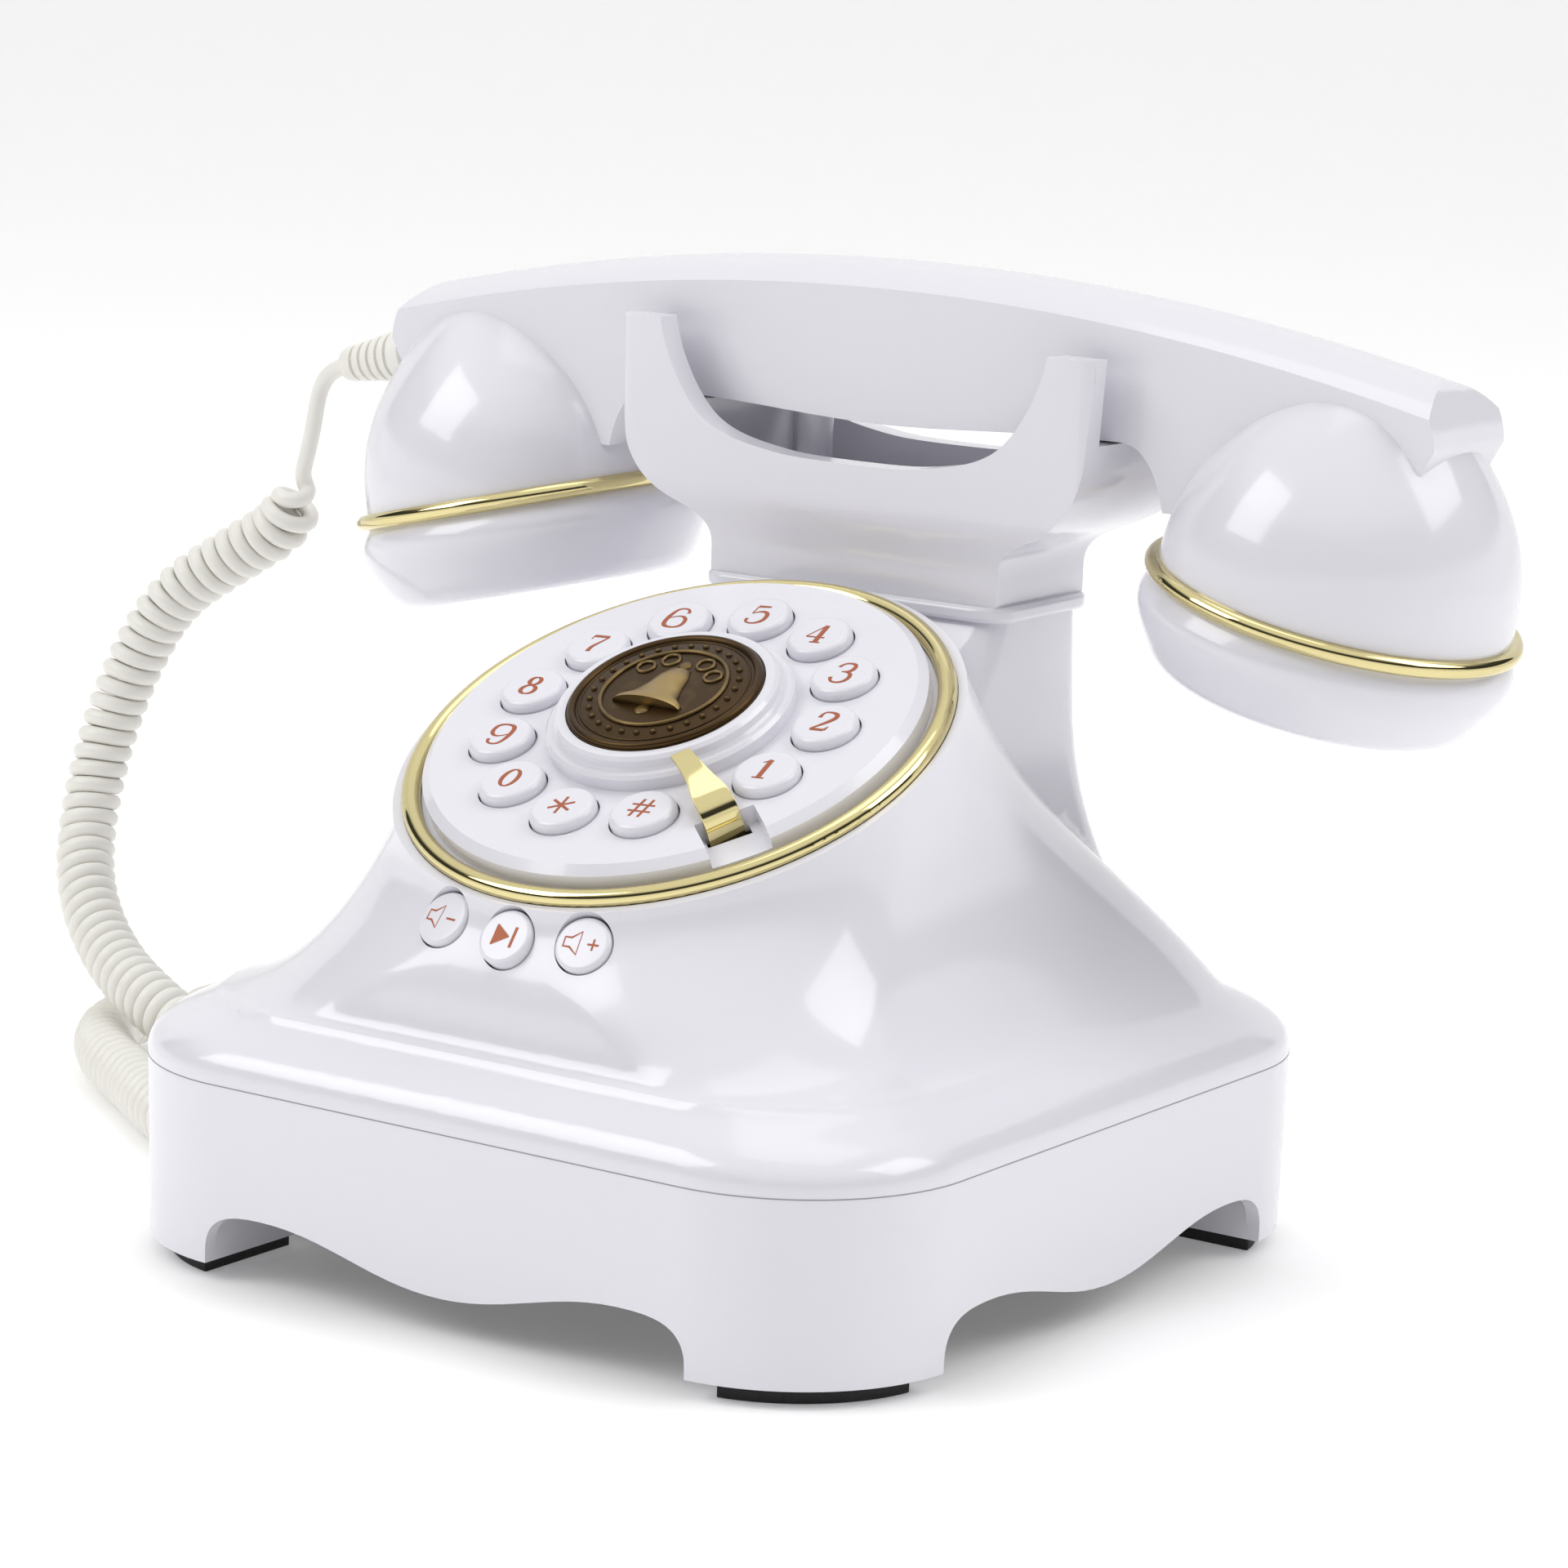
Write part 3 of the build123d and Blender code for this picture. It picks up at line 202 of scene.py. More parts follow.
def make_finishes():
    """All finishes, by the slot or the piece that they belong to."""
    look = bpy.context.scene.telephone_finishes
    made = {}
    # polished steel moulds leave ABS glossy, with the faint waviness of sink and flow
    made["ivory_shell"], tree, shader = surface("abs_moulded_gloss", look.shell, IOR=1.53, Coat_Weight=0.35)
    shader.inputs["Coat Roughness"].default_value = 0.04
    grain(tree, shader, 14.0, 0.02, 0.14, 0.2)
    # the keys come from the same plastic, a shade softer in gloss from handling
    made["key_plastic"], tree, shader = surface("abs_key_gloss", look.shell, IOR=1.53, Coat_Weight=0.2)
    grain(tree, shader, 5.0, 0.01, 0.18, 0.26)
    # thin plating over plastic mirrors the room, a little soft where it is rubbed
    made["gold_plate"], tree, shader = surface("gold_plated_plastic", look.gold, Metallic=1.0)
    grain(tree, shader, 6.0, 0.01, 0.04, 0.1)
    made["antique_bronze"] = aged_bronze(look)
    # pad-printed copper ink is flat and slightly metallic
    made["print"], tree, shader = surface("copper_pad_print", look.print_ink, Metallic=0.1)
    grain(tree, shader, 0.5, 0.005, 0.35, 0.5)
    # moulded rubber is matt and nearly black
    made["black_rubber"], tree, shader = surface("rubber_moulded_black", "#161616")
    grain(tree, shader, 0.8, 0.05, 0.6, 0.8)
    # textured plastic of hidden housings and sockets
    made["black_plastic"], tree, shader = surface("plastic_textured_black", "#1B1B1D")
    grain(tree, shader, 0.7, 0.04, 0.4, 0.55)
    # the jacket of a curly cord is a soft vinyl with a low sheen
    made["ivory_cord"], tree, shader = surface("vinyl_cord_ivory", look.cord, IOR=1.5)
    grain(tree, shader, 1.5, 0.02, 0.32, 0.45)
    # a modular plug is clear polycarbonate
    made["clear_plastic"], tree, shader = surface("polycarbonate_clear", "#F4F4F0", IOR=1.58, Transmission_Weight=0.85)
    grain(tree, shader, 3.0, 0.01, 0.05, 0.12)
    # solder mask over glass-fibre board
    made["circuit_board"], tree, shader = surface("solder_mask_green", "#1D5B34")
    grain(tree, shader, 0.6, 0.02, 0.3, 0.45)
    # the key mat is matt silicone
    made["silicone"], tree, shader = surface("silicone_grey", "#5E6064")
    grain(tree, shader, 0.9, 0.02, 0.5, 0.65)
    # zinc plate on steel is bright but cloudy
    made["zinc_steel"], tree, shader = surface("steel_zinc_plated", "#C4C5C6", Metallic=1.0)
    grain(tree, shader, 1.2, 0.02, 0.25, 0.4)
    # the shadow in a parting line between two mouldings
    made["seam"], tree, shader = surface("parting_line_shadow", "#9C9AA4", Roughness=0.7)
    return made


def aged_bronze(look):
    """Cast bronze, dark in its hollows and rubbed lighter on its high spots, which reads as old metal."""
    material, tree, shader = surface("bronze_antique_cast", look.bronze, Metallic=1.0)
    lean = math.radians(DIAL_TILT)
    coordinates = add_node(tree, "ShaderNodeTexCoord")
    noise = add_node(
        tree, "ShaderNodeTexNoise", {"Vector": coordinates.outputs["Object"], "Scale": 1 / (3.0 * MM), "Detail": 5.0}
    )
    height = add_node(tree, "ShaderNodeVectorMath", {0: coordinates.outputs["Object"]}, operation="DOT_PRODUCT")
    height.inputs[1].default_value = (0, -math.sin(lean), math.cos(lean))
    level = Vector(DIAL_CENTRE).dot(Vector((0, -math.sin(lean), math.cos(lean)))) + MEDALLION_TOP
    worn = add_node(tree, "ShaderNodeMapRange", {"Value": height.outputs["Value"]})
    worn.inputs["From Min"].default_value = (level - 0.3) * MM
    worn.inputs["From Max"].default_value = (level + 1.5) * MM
    patchy = add_node(tree, "ShaderNodeMath", {0: noise.outputs["Fac"], 1: 0.25}, operation="MULTIPLY")
    share = add_node(tree, "ShaderNodeMath", {0: worn.outputs["Result"], 1: patchy.outputs["Value"]}, operation="ADD")
    ramp = add_node(tree, "ShaderNodeValToRGB", {"Fac": share.outputs["Value"]})
    ramp.color_ramp.elements[0].position = 0.3
    ramp.color_ramp.elements[0].color = linear(look.patina)
    ramp.color_ramp.elements[1].position = 0.85
    ramp.color_ramp.elements[1].color = linear(look.bronze)
    tree.links.new(ramp.outputs["Color"], shader.inputs["Base Color"])
    bump = add_node(tree, "ShaderNodeBump", {"Height": noise.outputs["Fac"], "Distance": 0.08 * MM, "Strength": 0.5})
    tree.links.new(bump.outputs["Normal"], shader.inputs["Normal"])
    shader.inputs["Roughness"].default_value = 0.36
    return material


def body_of(node):
    """The moving body that a CAD node belongs to."""
    return frame["nodes"][node]["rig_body"]


def add_piece(name, mesh, body, material):
    """A finished piece at the origin, on its body, with one material."""
    piece = bpy.data.objects.new(name, mesh)
    bpy.context.scene.collection.objects.link(piece)
    mesh.materials.clear()
    mesh.materials.append(material)
    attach(piece, body)
    return piece


def smoothed(mesh, angle):
    """Merges loose triangles and shades a mesh smooth, except over edges sharper than an angle in degrees."""
    shape = bmesh.new()
    shape.from_mesh(mesh)
    bmesh.ops.remove_doubles(shape, verts=shape.verts, dist=0.004 * MM)
    bmesh.ops.dissolve_degenerate(shape, edges=shape.edges, dist=0.002 * MM)
    for face in shape.faces:
        face.smooth = True
    for edge in shape.edges:
        edge.smooth = edge.is_manifold and edge.calc_face_angle(0.0) < math.radians(angle)
    shape.to_mesh(mesh)
    shape.free()


def skin(node, slot, angle=32.0, edge_mm=0.0):
    """A smooth-shaded copy that stands for a CAD node, with small rounds on its sharp edges if asked."""
    mesh = frame["nodes"][node].data.copy()
    smoothed(mesh, angle)
    piece = add_piece(f"{node}_finished", mesh, body_of(node), finishes[slot])
    if edge_mm:
        bevel = piece.modifiers.new("rounded_edges", "BEVEL")
        bevel.width = edge_mm * MM
        bevel.segments = 3
        bevel.limit_method = "ANGLE"
        bevel.angle_limit = math.radians(angle)
        bevel.harden_normals = False
        bevel.use_clamp_overlap = True
    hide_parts(node)
    return piece


def plane_matrix(origin_mm, right, normal):
    """The placement of a flat drawing: its X along right, its Z along the normal."""
    x = Vector(right).normalized()
    z = Vector(normal).normalized()
    y = z.cross(x)
    rotation = Matrix((x, y, z)).transposed().to_4x4()
    return Matrix.Translation(Vector(origin_mm) * MM) @ rotation


def dial_matrix(u=0.0, v=0.0, height=0.0):
    """The placement of a drawing on the dial, at a point of its plane and a height over the key tops."""
    lean = math.radians(DIAL_TILT)
    normal = Vector((0, -math.sin(lean), math.cos(lean)))
    upward = Vector((0, math.cos(lean), math.sin(lean)))
    origin = Vector(DIAL_CENTRE) + Vector((1, 0, 0)) * u + upward * v + normal * height
    return plane_matrix(origin, (1, 0, 0), normal)


def button_matrix(button, height=0.0):
    """The placement of a drawing on a function button's face."""
    place, splay = BUTTONS[button]
    out = math.sin(math.radians(BUTTON_LEAN))
    turn = math.radians(splay)
    normal = Vector((out * math.sin(turn), -out * math.cos(turn), math.cos(math.radians(BUTTON_LEAN))))
    return plane_matrix(Vector(place) + normal * height, (math.cos(turn), math.sin(turn), 0), normal)


def mesh_from_curve(curve, name):
    """The mesh of a curve or text, with its own object removed afterwards."""
    holder = bpy.data.objects.new(name, curve)
    bpy.context.scene.collection.objects.link(holder)
    bpy.context.view_layer.update()
    depsgraph = bpy.context.evaluated_depsgraph_get()
    mesh = bpy.data.meshes.new_from_object(holder.evaluated_get(depsgraph))
    bpy.data.objects.remove(holder)
    return mesh


def stroke(name, lines, relief_mm=0.12, smooth=False):
    """Raised ink lines: each line is its points, with a half width each, and whether it closes."""
    curve = bpy.data.curves.new(name, "CURVE")
    curve.dimensions = "3D"
    curve.bevel_depth = MM
    curve.bevel_resolution = 2
    curve.resolution_u = 8
    curve.use_fill_caps = True
    for points, closed in lines:
        rounded = smooth and len(points) > 2
        spline = curve.splines.new("NURBS" if rounded else "POLY")
        spline.points.add(len(points) - 1)
        for point, (x, y, half) in zip(spline.points, points):
            point.co = (x * MM, y * MM, 0, 1)
            point.radius = half
        spline.use_cyclic_u = closed
        if rounded:
            spline.order_u = 3
            spline.use_endpoint_u = not closed
    mesh = mesh_from_curve(curve, name)
    mesh.transform(Matrix.Diagonal((1, 1, relief_mm, 1)))
    return mesh


def digit_lines(key):
    """The strokes of one digit: open strokes, closed loops, or arms for the star."""
    if key == "9":
        return [([(-x, -y, half) for x, y, half in points], closed) for points, closed in digit_lines("6")]
    if key == "star":
        arms = [math.radians(angle) for angle in (90, 30, 150)]
        return [([(-2.4 * math.cos(a), -2.4 * math.sin(a), 0.28), (2.4 * math.cos(a), 2.4 * math.sin(a), 0.28)], False) for a in arms]
    lines = [(points, False) for points in DIGIT_STROKES.get(key, [])]
    for centre, wide, tall in DIGIT_LOOPS.get(key, []):
        turns = [2 * math.pi * i / 16 for i in range(16)]
        loop = [(wide * math.cos(t), centre + tall * math.sin(t), 0.17 + 0.27 * abs(math.cos(t))) for t in turns]
        lines.append((loop, True))
    return lines


def ring_of(shape, radius_mm, section_mm, height_mm, flat=1.0):
    """Adds a bead ring around Z to a bmesh, made by spinning a small circle."""
    turn = Matrix.Translation((radius_mm * MM, 0, height_mm * MM)) @ Matrix.Rotation(math.pi / 2, 4, "X")
    squeeze = Matrix.Diagonal((1, flat, 1, 1))
    made = bmesh.ops.create_circle(shape, segments=12, radius=section_mm * MM, matrix=turn @ squeeze)
    edges = list({edge for vert in made["verts"] for edge in vert.link_edges})
    bmesh.ops.spin(
        shape,
        geom=made["verts"] + edges,
        cent=(0, 0, 0),
        axis=(0, 0, 1),
        angle=2 * math.pi,
        steps=96,
        use_merge=True,
        use_duplicate=False,
    )


# ---------------------------------------------------------------- operators
class TELEPHONE_OT_shells(bpy.types.Operator):
    """Glossy mouldings of the base, the housing, the cradle and the handset"""

    bl_idname = "telephone.shells"
    bl_label = "Shells"

    def execute(self, context):
        edge = context.scene.telephone_sizes.shell_edge
        skin("base_skirt", "ivory_shell", 32, edge * 0.6)
        skin("upper_housing", "ivory_shell", 40)
        skin("cradle", "ivory_shell", 32, edge)
        skin("handset_upper_shell", "ivory_shell", 38, edge * 0.5)
        skin("handset_lower_shell", "ivory_shell", 38)
        skin("mouthpiece_cap", "ivory_shell", 32)
        skin("earpiece_cap", "ivory_shell", 32)
        skin("hook_plunger", "ivory_shell", 32)
        skin("rubber_feet", "black_rubber", 32, 0.4)
        return {"FINISHED"}


class TELEPHONE_OT_seam(bpy.types.Operator):
    """Shadow line where the housing meets the base"""

    bl_idname = "telephone.seam"
    bl_label = "Parting line"

    def execute(self, context):
        shape = bmesh.new()
        shape.from_mesh(frame["nodes"]["base_skirt"].data)
        bmesh.ops.remove_doubles(shape, verts=shape.verts, dist=0.004 * MM)
        for height, facing in ((SEAM_Z - 0.22, -1), (SEAM_Z - 0.02, 1)):
            geometry = shape.verts[:] + shape.edges[:] + shape.faces[:]
            bmesh.ops.bisect_plane(
                shape, geom=geometry, plane_co=(0, 0, height * MM), plane_no=(0, 0, facing), clear_outer=True
            )
        inner = [face for face in shape.faces if face.calc_center_median().to_2d().dot(face.normal.to_2d()) < 0]
        bmesh.ops.delete(shape, geom=inner, context="FACES")
        bmesh.ops.solidify(shape, geom=shape.faces[:], thickness=-0.05 * MM)
        mesh = bpy.data.meshes.new("parting_line_shade_strip")
        shape.to_mesh(mesh)
        shape.free()
        smoothed(mesh, 40)
        # a thin grey strip of painted shadow along the line where the housing meets the base
        add_piece("parting_line_shade_strip", mesh, "base", finishes["seam"])
        return {"FINISHED"}


class TELEPHONE_OT_dial(bpy.types.Operator):
    """Dial plate, gold bezel, hub ring, finger stop and the twelve keys with their digits"""

    bl_idname = "telephone.dial"
    bl_label = "Dial"

    def execute(self, context):
        skin("dial_plate", "ivory_shell", 30)
        skin("dial_bezel", "gold_plate", 40)
        skin("hub_ring", "ivory_shell", 28)
        skin("neck_collar", "ivory_shell", 30, 0.3)
        self.finger_stop()
        for key in KEYS:
            skin(f"key_{key}", "key_plastic", 32)
            self.digit(context, key)
        return {"FINISHED"}

    def finger_stop(self):
        """A strip of plated metal, narrow over the hub, which bends smoothly down into its slot."""
        inner = Vector((13.9, -15.9))
        outward = (Vector((27.0, -24.5)) - inner).normalized()
        reach = (Vector((27.0, -24.5)) - inner).length
        course = [(0.0, 3.95, 3.6), (0.3, 3.6, 3.9), (0.55, 2.6, 4.8), (0.68, 1.9, 6.0), (0.8, 1.2, 6.5)]
        course += [(0.92, 0.0, 6.5), (0.98, -2.6, 6.5), (1.0, -6.0, 6.5), (1.0, -9.6, 6.5)]
        across = Vector((-outward.y, outward.x))
        shape = bmesh.new()
        rows = []
        for share, height, width in course:
            middle = inner + outward * (reach * share)
            ends = [middle + across * (width / 2 * side) for side in (-1, 1)]
            rows.append([shape.verts.new((end.x * MM, end.y * MM, height * MM)) for end in ends])
        for lower, upper in zip(rows, rows[1:]):
            shape.faces.new((lower[0], lower[1], upper[1], upper[0]))
        bmesh.ops.recalc_face_normals(shape, faces=shape.faces)
        bmesh.ops.solidify(shape, geom=shape.faces[:], thickness=0.8 * MM)
        bmesh.ops.recalc_face_normals(shape, faces=shape.faces)
        shape.transform(dial_matrix())
        mesh = bpy.data.meshes.new("finger_stop_finished")
        shape.to_mesh(mesh)
        shape.free()
        piece = add_piece("finger_stop_finished", mesh, "base", finishes["gold_plate"])
        for face in mesh.polygons:
            face.use_smooth = True
        rounded = piece.modifiers.new("rounded_edges", "BEVEL")
        rounded.width = 0.12 * MM
        rounded.segments = 2
        rounded.limit_method = "ANGLE"
        rounded.angle_limit = math.radians(60)
        flow = piece.modifiers.new("flow", "SUBSURF")
        flow.levels = 3
        flow.render_levels = 3
        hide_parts("finger_stop")

    def digit(self, context, key):
        """Prints one digit on a key's top."""
        mesh = stroke(f"digit_{key}", digit_lines(key), smooth=True)
        angle = math.radians(KEY_START + KEYS.index(key) * KEY_STEP)
        place = dial_matrix(KEY_RADIUS * math.cos(angle), KEY_RADIUS * math.sin(angle), 0.02)
        tilt = Matrix.Rotation(math.radians(4), 4, "Z")
        mesh.transform(place @ tilt @ Matrix.Scale(context.scene.telephone_sizes.digit_scale, 4))
        add_piece(f"digit_{key}", mesh, body_of(f"key_{key}"), finishes["print"])


class TELEPHONE_OT_medallion(bpy.types.Operator):
    """Antique medallion with a bell, a beaded border and two rims"""

    bl_idname = "telephone.medallion"
    bl_label = "Medallion"

    def execute(self, context):
        skin("medallion", "antique_bronze", 40)
        shape = bmesh.new()
        ring_of(shape, 16.4, 0.8, 0.0)
        ring_of(shape, 11.2, 0.45, 0.85)
        ring_of(shape, 15.0, 0.25, 0.3)
        beads = 28
        for i in range(beads):
            turn = Matrix.Rotation(2 * math.pi * i / beads, 4, "Z")
            place = turn @ Matrix.Translation((13.2 * MM, 0, 0.55 * MM))
            bmesh.ops.create_icosphere(shape, subdivisions=2, radius=0.6 * MM, matrix=place)
        for turned in (35, 65, 115, 145):
            turn = Matrix.Rotation(math.radians(turned), 4, "Z")
            curl = turn @ Matrix.Translation((8.6 * MM, 0, 0.95 * MM)) @ Matrix.Scale(0.12, 4)
            before = set(shape.verts)
            ring_of(shape, 13.0, 3.0, 0.0)
            fresh = [vert for vert in shape.verts if vert not in before]
            bmesh.ops.transform(shape, matrix=curl, verts=fresh)
        self.bell(shape)
        shape.transform(dial_matrix(0, 0, MEDALLION_TOP - 0.9))
        mesh = bpy.data.meshes.new("medallion_relief")
        bmesh.ops.recalc_face_normals(shape, faces=shape.faces)
        shape.to_mesh(mesh)
        shape.free()
        smoothed(mesh, 50)
        add_piece("medallion_relief", mesh, "base", finishes["antique_bronze"])
        return {"FINISHED"}

    def bell(self, shape):
        """A small bell in low relief, upright on the medallion."""
        profile = [(0.4, 6.4), (2.3, 5.6), (3.2, 3.4), (3.8, 0.4), (5.0, -2.6), (7.0, -4.4), (7.0, -5.3), (0.4, -5.3)]
        lines = bmesh.new()
        verts = [lines.verts.new((r * MM, h * MM, 0)) for r, h in profile]
        edges = [lines.edges.new(pair) for pair in zip(verts, verts[1:])]
        bmesh.ops.spin(
            lines,
            geom=verts + edges,
            cent=(0, 0, 0),
            axis=(0, 1, 0),
            angle=2 * math.pi,
            steps=48,
            use_merge=True,
            use_duplicate=False,
        )
        bmesh.ops.holes_fill(lines, edges=[edge for edge in lines.edges if edge.is_boundary])
        bmesh.ops.create_uvsphere(
            lines, u_segments=20, v_segments=12, radius=1.5 * MM, matrix=Matrix.Translation((0, -6.4 * MM, 0))
        )
        bmesh.ops.create_uvsphere(
            lines, u_segments=20, v_segments=12, radius=1.3 * MM, matrix=Matrix.Translation((0, 7.2 * MM, 0))
        )
        bmesh.ops.scale(lines, vec=(1, 1, 0.3), verts=lines.verts)
        bmesh.ops.translate(lines, vec=(0, -0.4 * MM, 0.9 * MM), verts=lines.verts)
        holder = bpy.data.meshes.new("bell_relief")
        lines.to_mesh(holder)
        lines.free()
        shape.from_mesh(holder)
        bpy.data.meshes.remove(holder)


class TELEPHONE_OT_buttons(bpy.types.Operator):
    """Three function buttons with copper outline icons"""

    bl_idname = "telephone.buttons"
    bl_label = "Function buttons"

    def execute(self, context):
        ink = 0.19
        cone = [(-3.3, -0.85), (-2.1, -0.85), (-0.5, -2.1), (-0.5, 2.1), (-2.1, 0.85), (-3.3, 0.85)]
        speaker = ([(x, y, ink) for x, y in cone], True)
        minus = ([(1.0, 0.0, ink), (3.1, 0.0, ink)], False)
        upright = ([(2.05, -1.05, ink), (2.05, 1.05, ink)], False)
        arrow = [([(-1.9 + i * 0.3, -1.9 + i * 0.19, 0.22), (-1.9 + i * 0.3, 1.9 - i * 0.19, 0.22)], False) for i in range(10)]
        icons = {
            "volume_down_button": [speaker, minus],
            "skip_button": arrow + [([(1.9, -1.9, 0.3), (1.9, 1.9, 0.3)], False)],
            "volume_up_button": [speaker, minus, upright],
        }
        for button, lines in icons.items():
            skin(button, "key_plastic", 32)
            mesh = stroke(f"{button}_icon", lines)
            mesh.transform(button_matrix(button, 0.02))
            smoothed(mesh, 50)
            add_piece(f"{button}_icon", mesh, body_of(button), finishes["print"])
        return {"FINISHED"}


class TELEPHONE_OT_handset_trim(bpy.types.Operator):
    """Gold bead rings of the handset"""

    bl_idname = "telephone.handset_trim"
    bl_label = "Handset trim"

    def execute(self, context):
        skin("mouthpiece_ring", "gold_plate", 40)
        skin("earpiece_ring", "gold_plate", 40)
        return {"FINISHED"}


HANDSET_LEAD = [(-132.5, 53.5, 139.0), (-137.0, 53.5, 137.6), (-140.0, 53.5, 133.2), (-141.2, 53.5, 125.7)]
COIL = [
    (-143.4, 53.5, 118.0),
    (-146.6, 53.5, 106.8),
    (-157.5, 51.0, 99.8),
    (-171.0, 47.0, 90.5),
    (-178.5, 44.0, 77.0),
    (-182.9, 40.0, 61.0),
    (-182.8, 34.0, 43.0),
    (-175.4, 26.0, 30.8),
    (-160.5, 18.0, 21.2),
    (-140.5, 10.0, 16.0),
    (-122.0, 7.0, 10.0),
    (-106.0, 2.5, 6.6),
    (-95.0, -3.5, 6.6),
    (-90.0, -13.0, 6.6),
    (-93.5, -22.5, 6.6),
    (-103.5, -24.5, 6.6),
    (-116.0, -18.0, 6.6),
    (-133.0, -6.0, 6.6),
    (-150.0, 4.5, 6.6),
    (-164.5, 19.0, 6.6),
    (-169.5, 35.0, 6.8),
    (-163.0, 47.0, 9.5),
]
JACK_LEAD = [
    (-157.8, 56.6, 11.66),
    (-142.0, 60.5, 16.5),
    (-123.5, 55.5, 21.5),
    (-110.0, 45.5, 24.3),
    (-99.0, 38.0, 24.5),
    (-88.0, 38.0, 24.5),
]


def route_points(points):
    """Points along the smooth line of a route, read from its NURBS spline, with their distances."""
    curve = bpy.data.curves.new("cord_route", "CURVE")
    curve.dimensions = "3D"
    curve.resolution_u = 24
    spline = curve.splines.new("NURBS")
    spline.points.add(len(points) - 1)
    for point, place in zip(spline.points, points):
        point.co = (*(Vector(place) * MM), 1)
    spline.order_u = 3
    spline.use_endpoint_u = True
    mesh = mesh_from_curve(curve, "cord_route")
    places = [Vector(vert.co) for vert in mesh.vertices]
    distances = [0.0]
    for before, here in zip(places, places[1:]):
        distances.append(distances[-1] + (here - before).length)
    return places, distances


def along(places, distances, at):
    """The point of a polyline at a distance along it, and its direction there."""
    index = 1
    while index < len(places) - 1 and distances[index] < at:
        index += 1
    step = distances[index] - distances[index - 1]
    share = (at - distances[index - 1]) / step if step else 0.0
    return places[index - 1].lerp(places[index], share), (places[index] - places[index - 1]).normalized()


class TELEPHONE_OT_cord(bpy.types.Operator):
    """The handset's curly cord, from its boot to its plug"""

    bl_idname = "telephone.cord"
    bl_label = "Curly cord"

    def execute(self, context):
        sizes = context.scene.telephone_sizes
        places, distances = route_points(HANDSET_LEAD + COIL + JACK_LEAD)
        total = distances[-1]
        lead_in = self.distance_near(places, distances, COIL[0])
        lead_out = self.distance_near(places, distances, COIL[-1])
        centre_line = self.wind(places, distances, lead_in, lead_out, total, sizes)
        curve = bpy.data.curves.new("handset_cord", "CURVE")
        curve.dimensions = "3D"
        curve.resolution_u = 2
        curve.bevel_depth = sizes.wire / 2 * MM
        curve.bevel_resolution = 3
        curve.use_fill_caps = True
        spline = curve.splines.new("NURBS")
        spline.points.add(len(centre_line) - 1)
        for point, place in zip(spline.points, centre_line):
            point.co = (*place, 1)
        spline.order_u = 3
        spline.use_endpoint_u = True
        mesh = mesh_from_curve(curve, "handset_cord")
        smoothed(mesh, 60)
        piece = bpy.data.objects.new("handset_cord", mesh)
        context.scene.collection.objects.link(piece)
        mesh.materials.clear()
        mesh.materials.append(finishes["ivory_cord"])
        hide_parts("handset_lead", "curly_cord", "jack_lead")
        boot = skin("strain_relief", "ivory_cord", 32)
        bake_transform(piece)
        return {"FINISHED"}

    def distance_near(self, places, distances, target):
        """How far along the line its nearest point to a target lies."""
        goal = Vector(target) * MM
        nearest = min(range(len(places)), key=lambda i: (places[i] - goal).length)
        return distances[nearest]

    def wind(self, places, distances, lead_in, lead_out, total, sizes):
        """The wire's centre line: straight leads, and a helix around the route that opens gently between them."""
        radius = (sizes.coil - sizes.wire) / 2 * MM
        pitch = sizes.pitch * MM
        ramp = 3 * pitch
        per_turn = 14
        line = []
        at = 0.0
        turned = 0.0
        side = Vector((0, 1, 0))
        while at < total:
            middle, forward = along(places, distances, at)
            side = (side - forward * side.dot(forward)).normalized()
            across = forward.cross(side)
            open_share = max(0.0, min(1.0, min(at - lead_in, lead_out - at) / ramp))
            open_share = open_share * open_share * (3 - 2 * open_share)
            reach = radius * open_share
            line.append(middle + side * (reach * math.cos(turned)) + across * (reach * math.sin(turned)))
            step = pitch / per_turn if lead_in - pitch < at < lead_out + pitch else pitch / 2
            turned += 2 * math.pi * step / pitch * open_share
            at += step
        if (places[-1] - line[-1]).length < pitch / 4:
            line.pop()
        line.append(places[-1])
        return line


class TELEPHONE_OT_fittings(bpy.types.Operator):
    """Finishes of the small, hidden and underside pieces, which keep their CAD meshes"""

    bl_idname = "telephone.fittings"
    bl_label = "Fittings"

    def execute(self, context):
        slots = {part["node"]: part["material_slot"] for part in frame["record"]["subparts"]}
        for name, node in frame["nodes"].items():
            if not node.hide_render:
                node.data.materials.clear()
                node.data.materials.append(finishes[slots[name]])
        return {"FINISHED"}


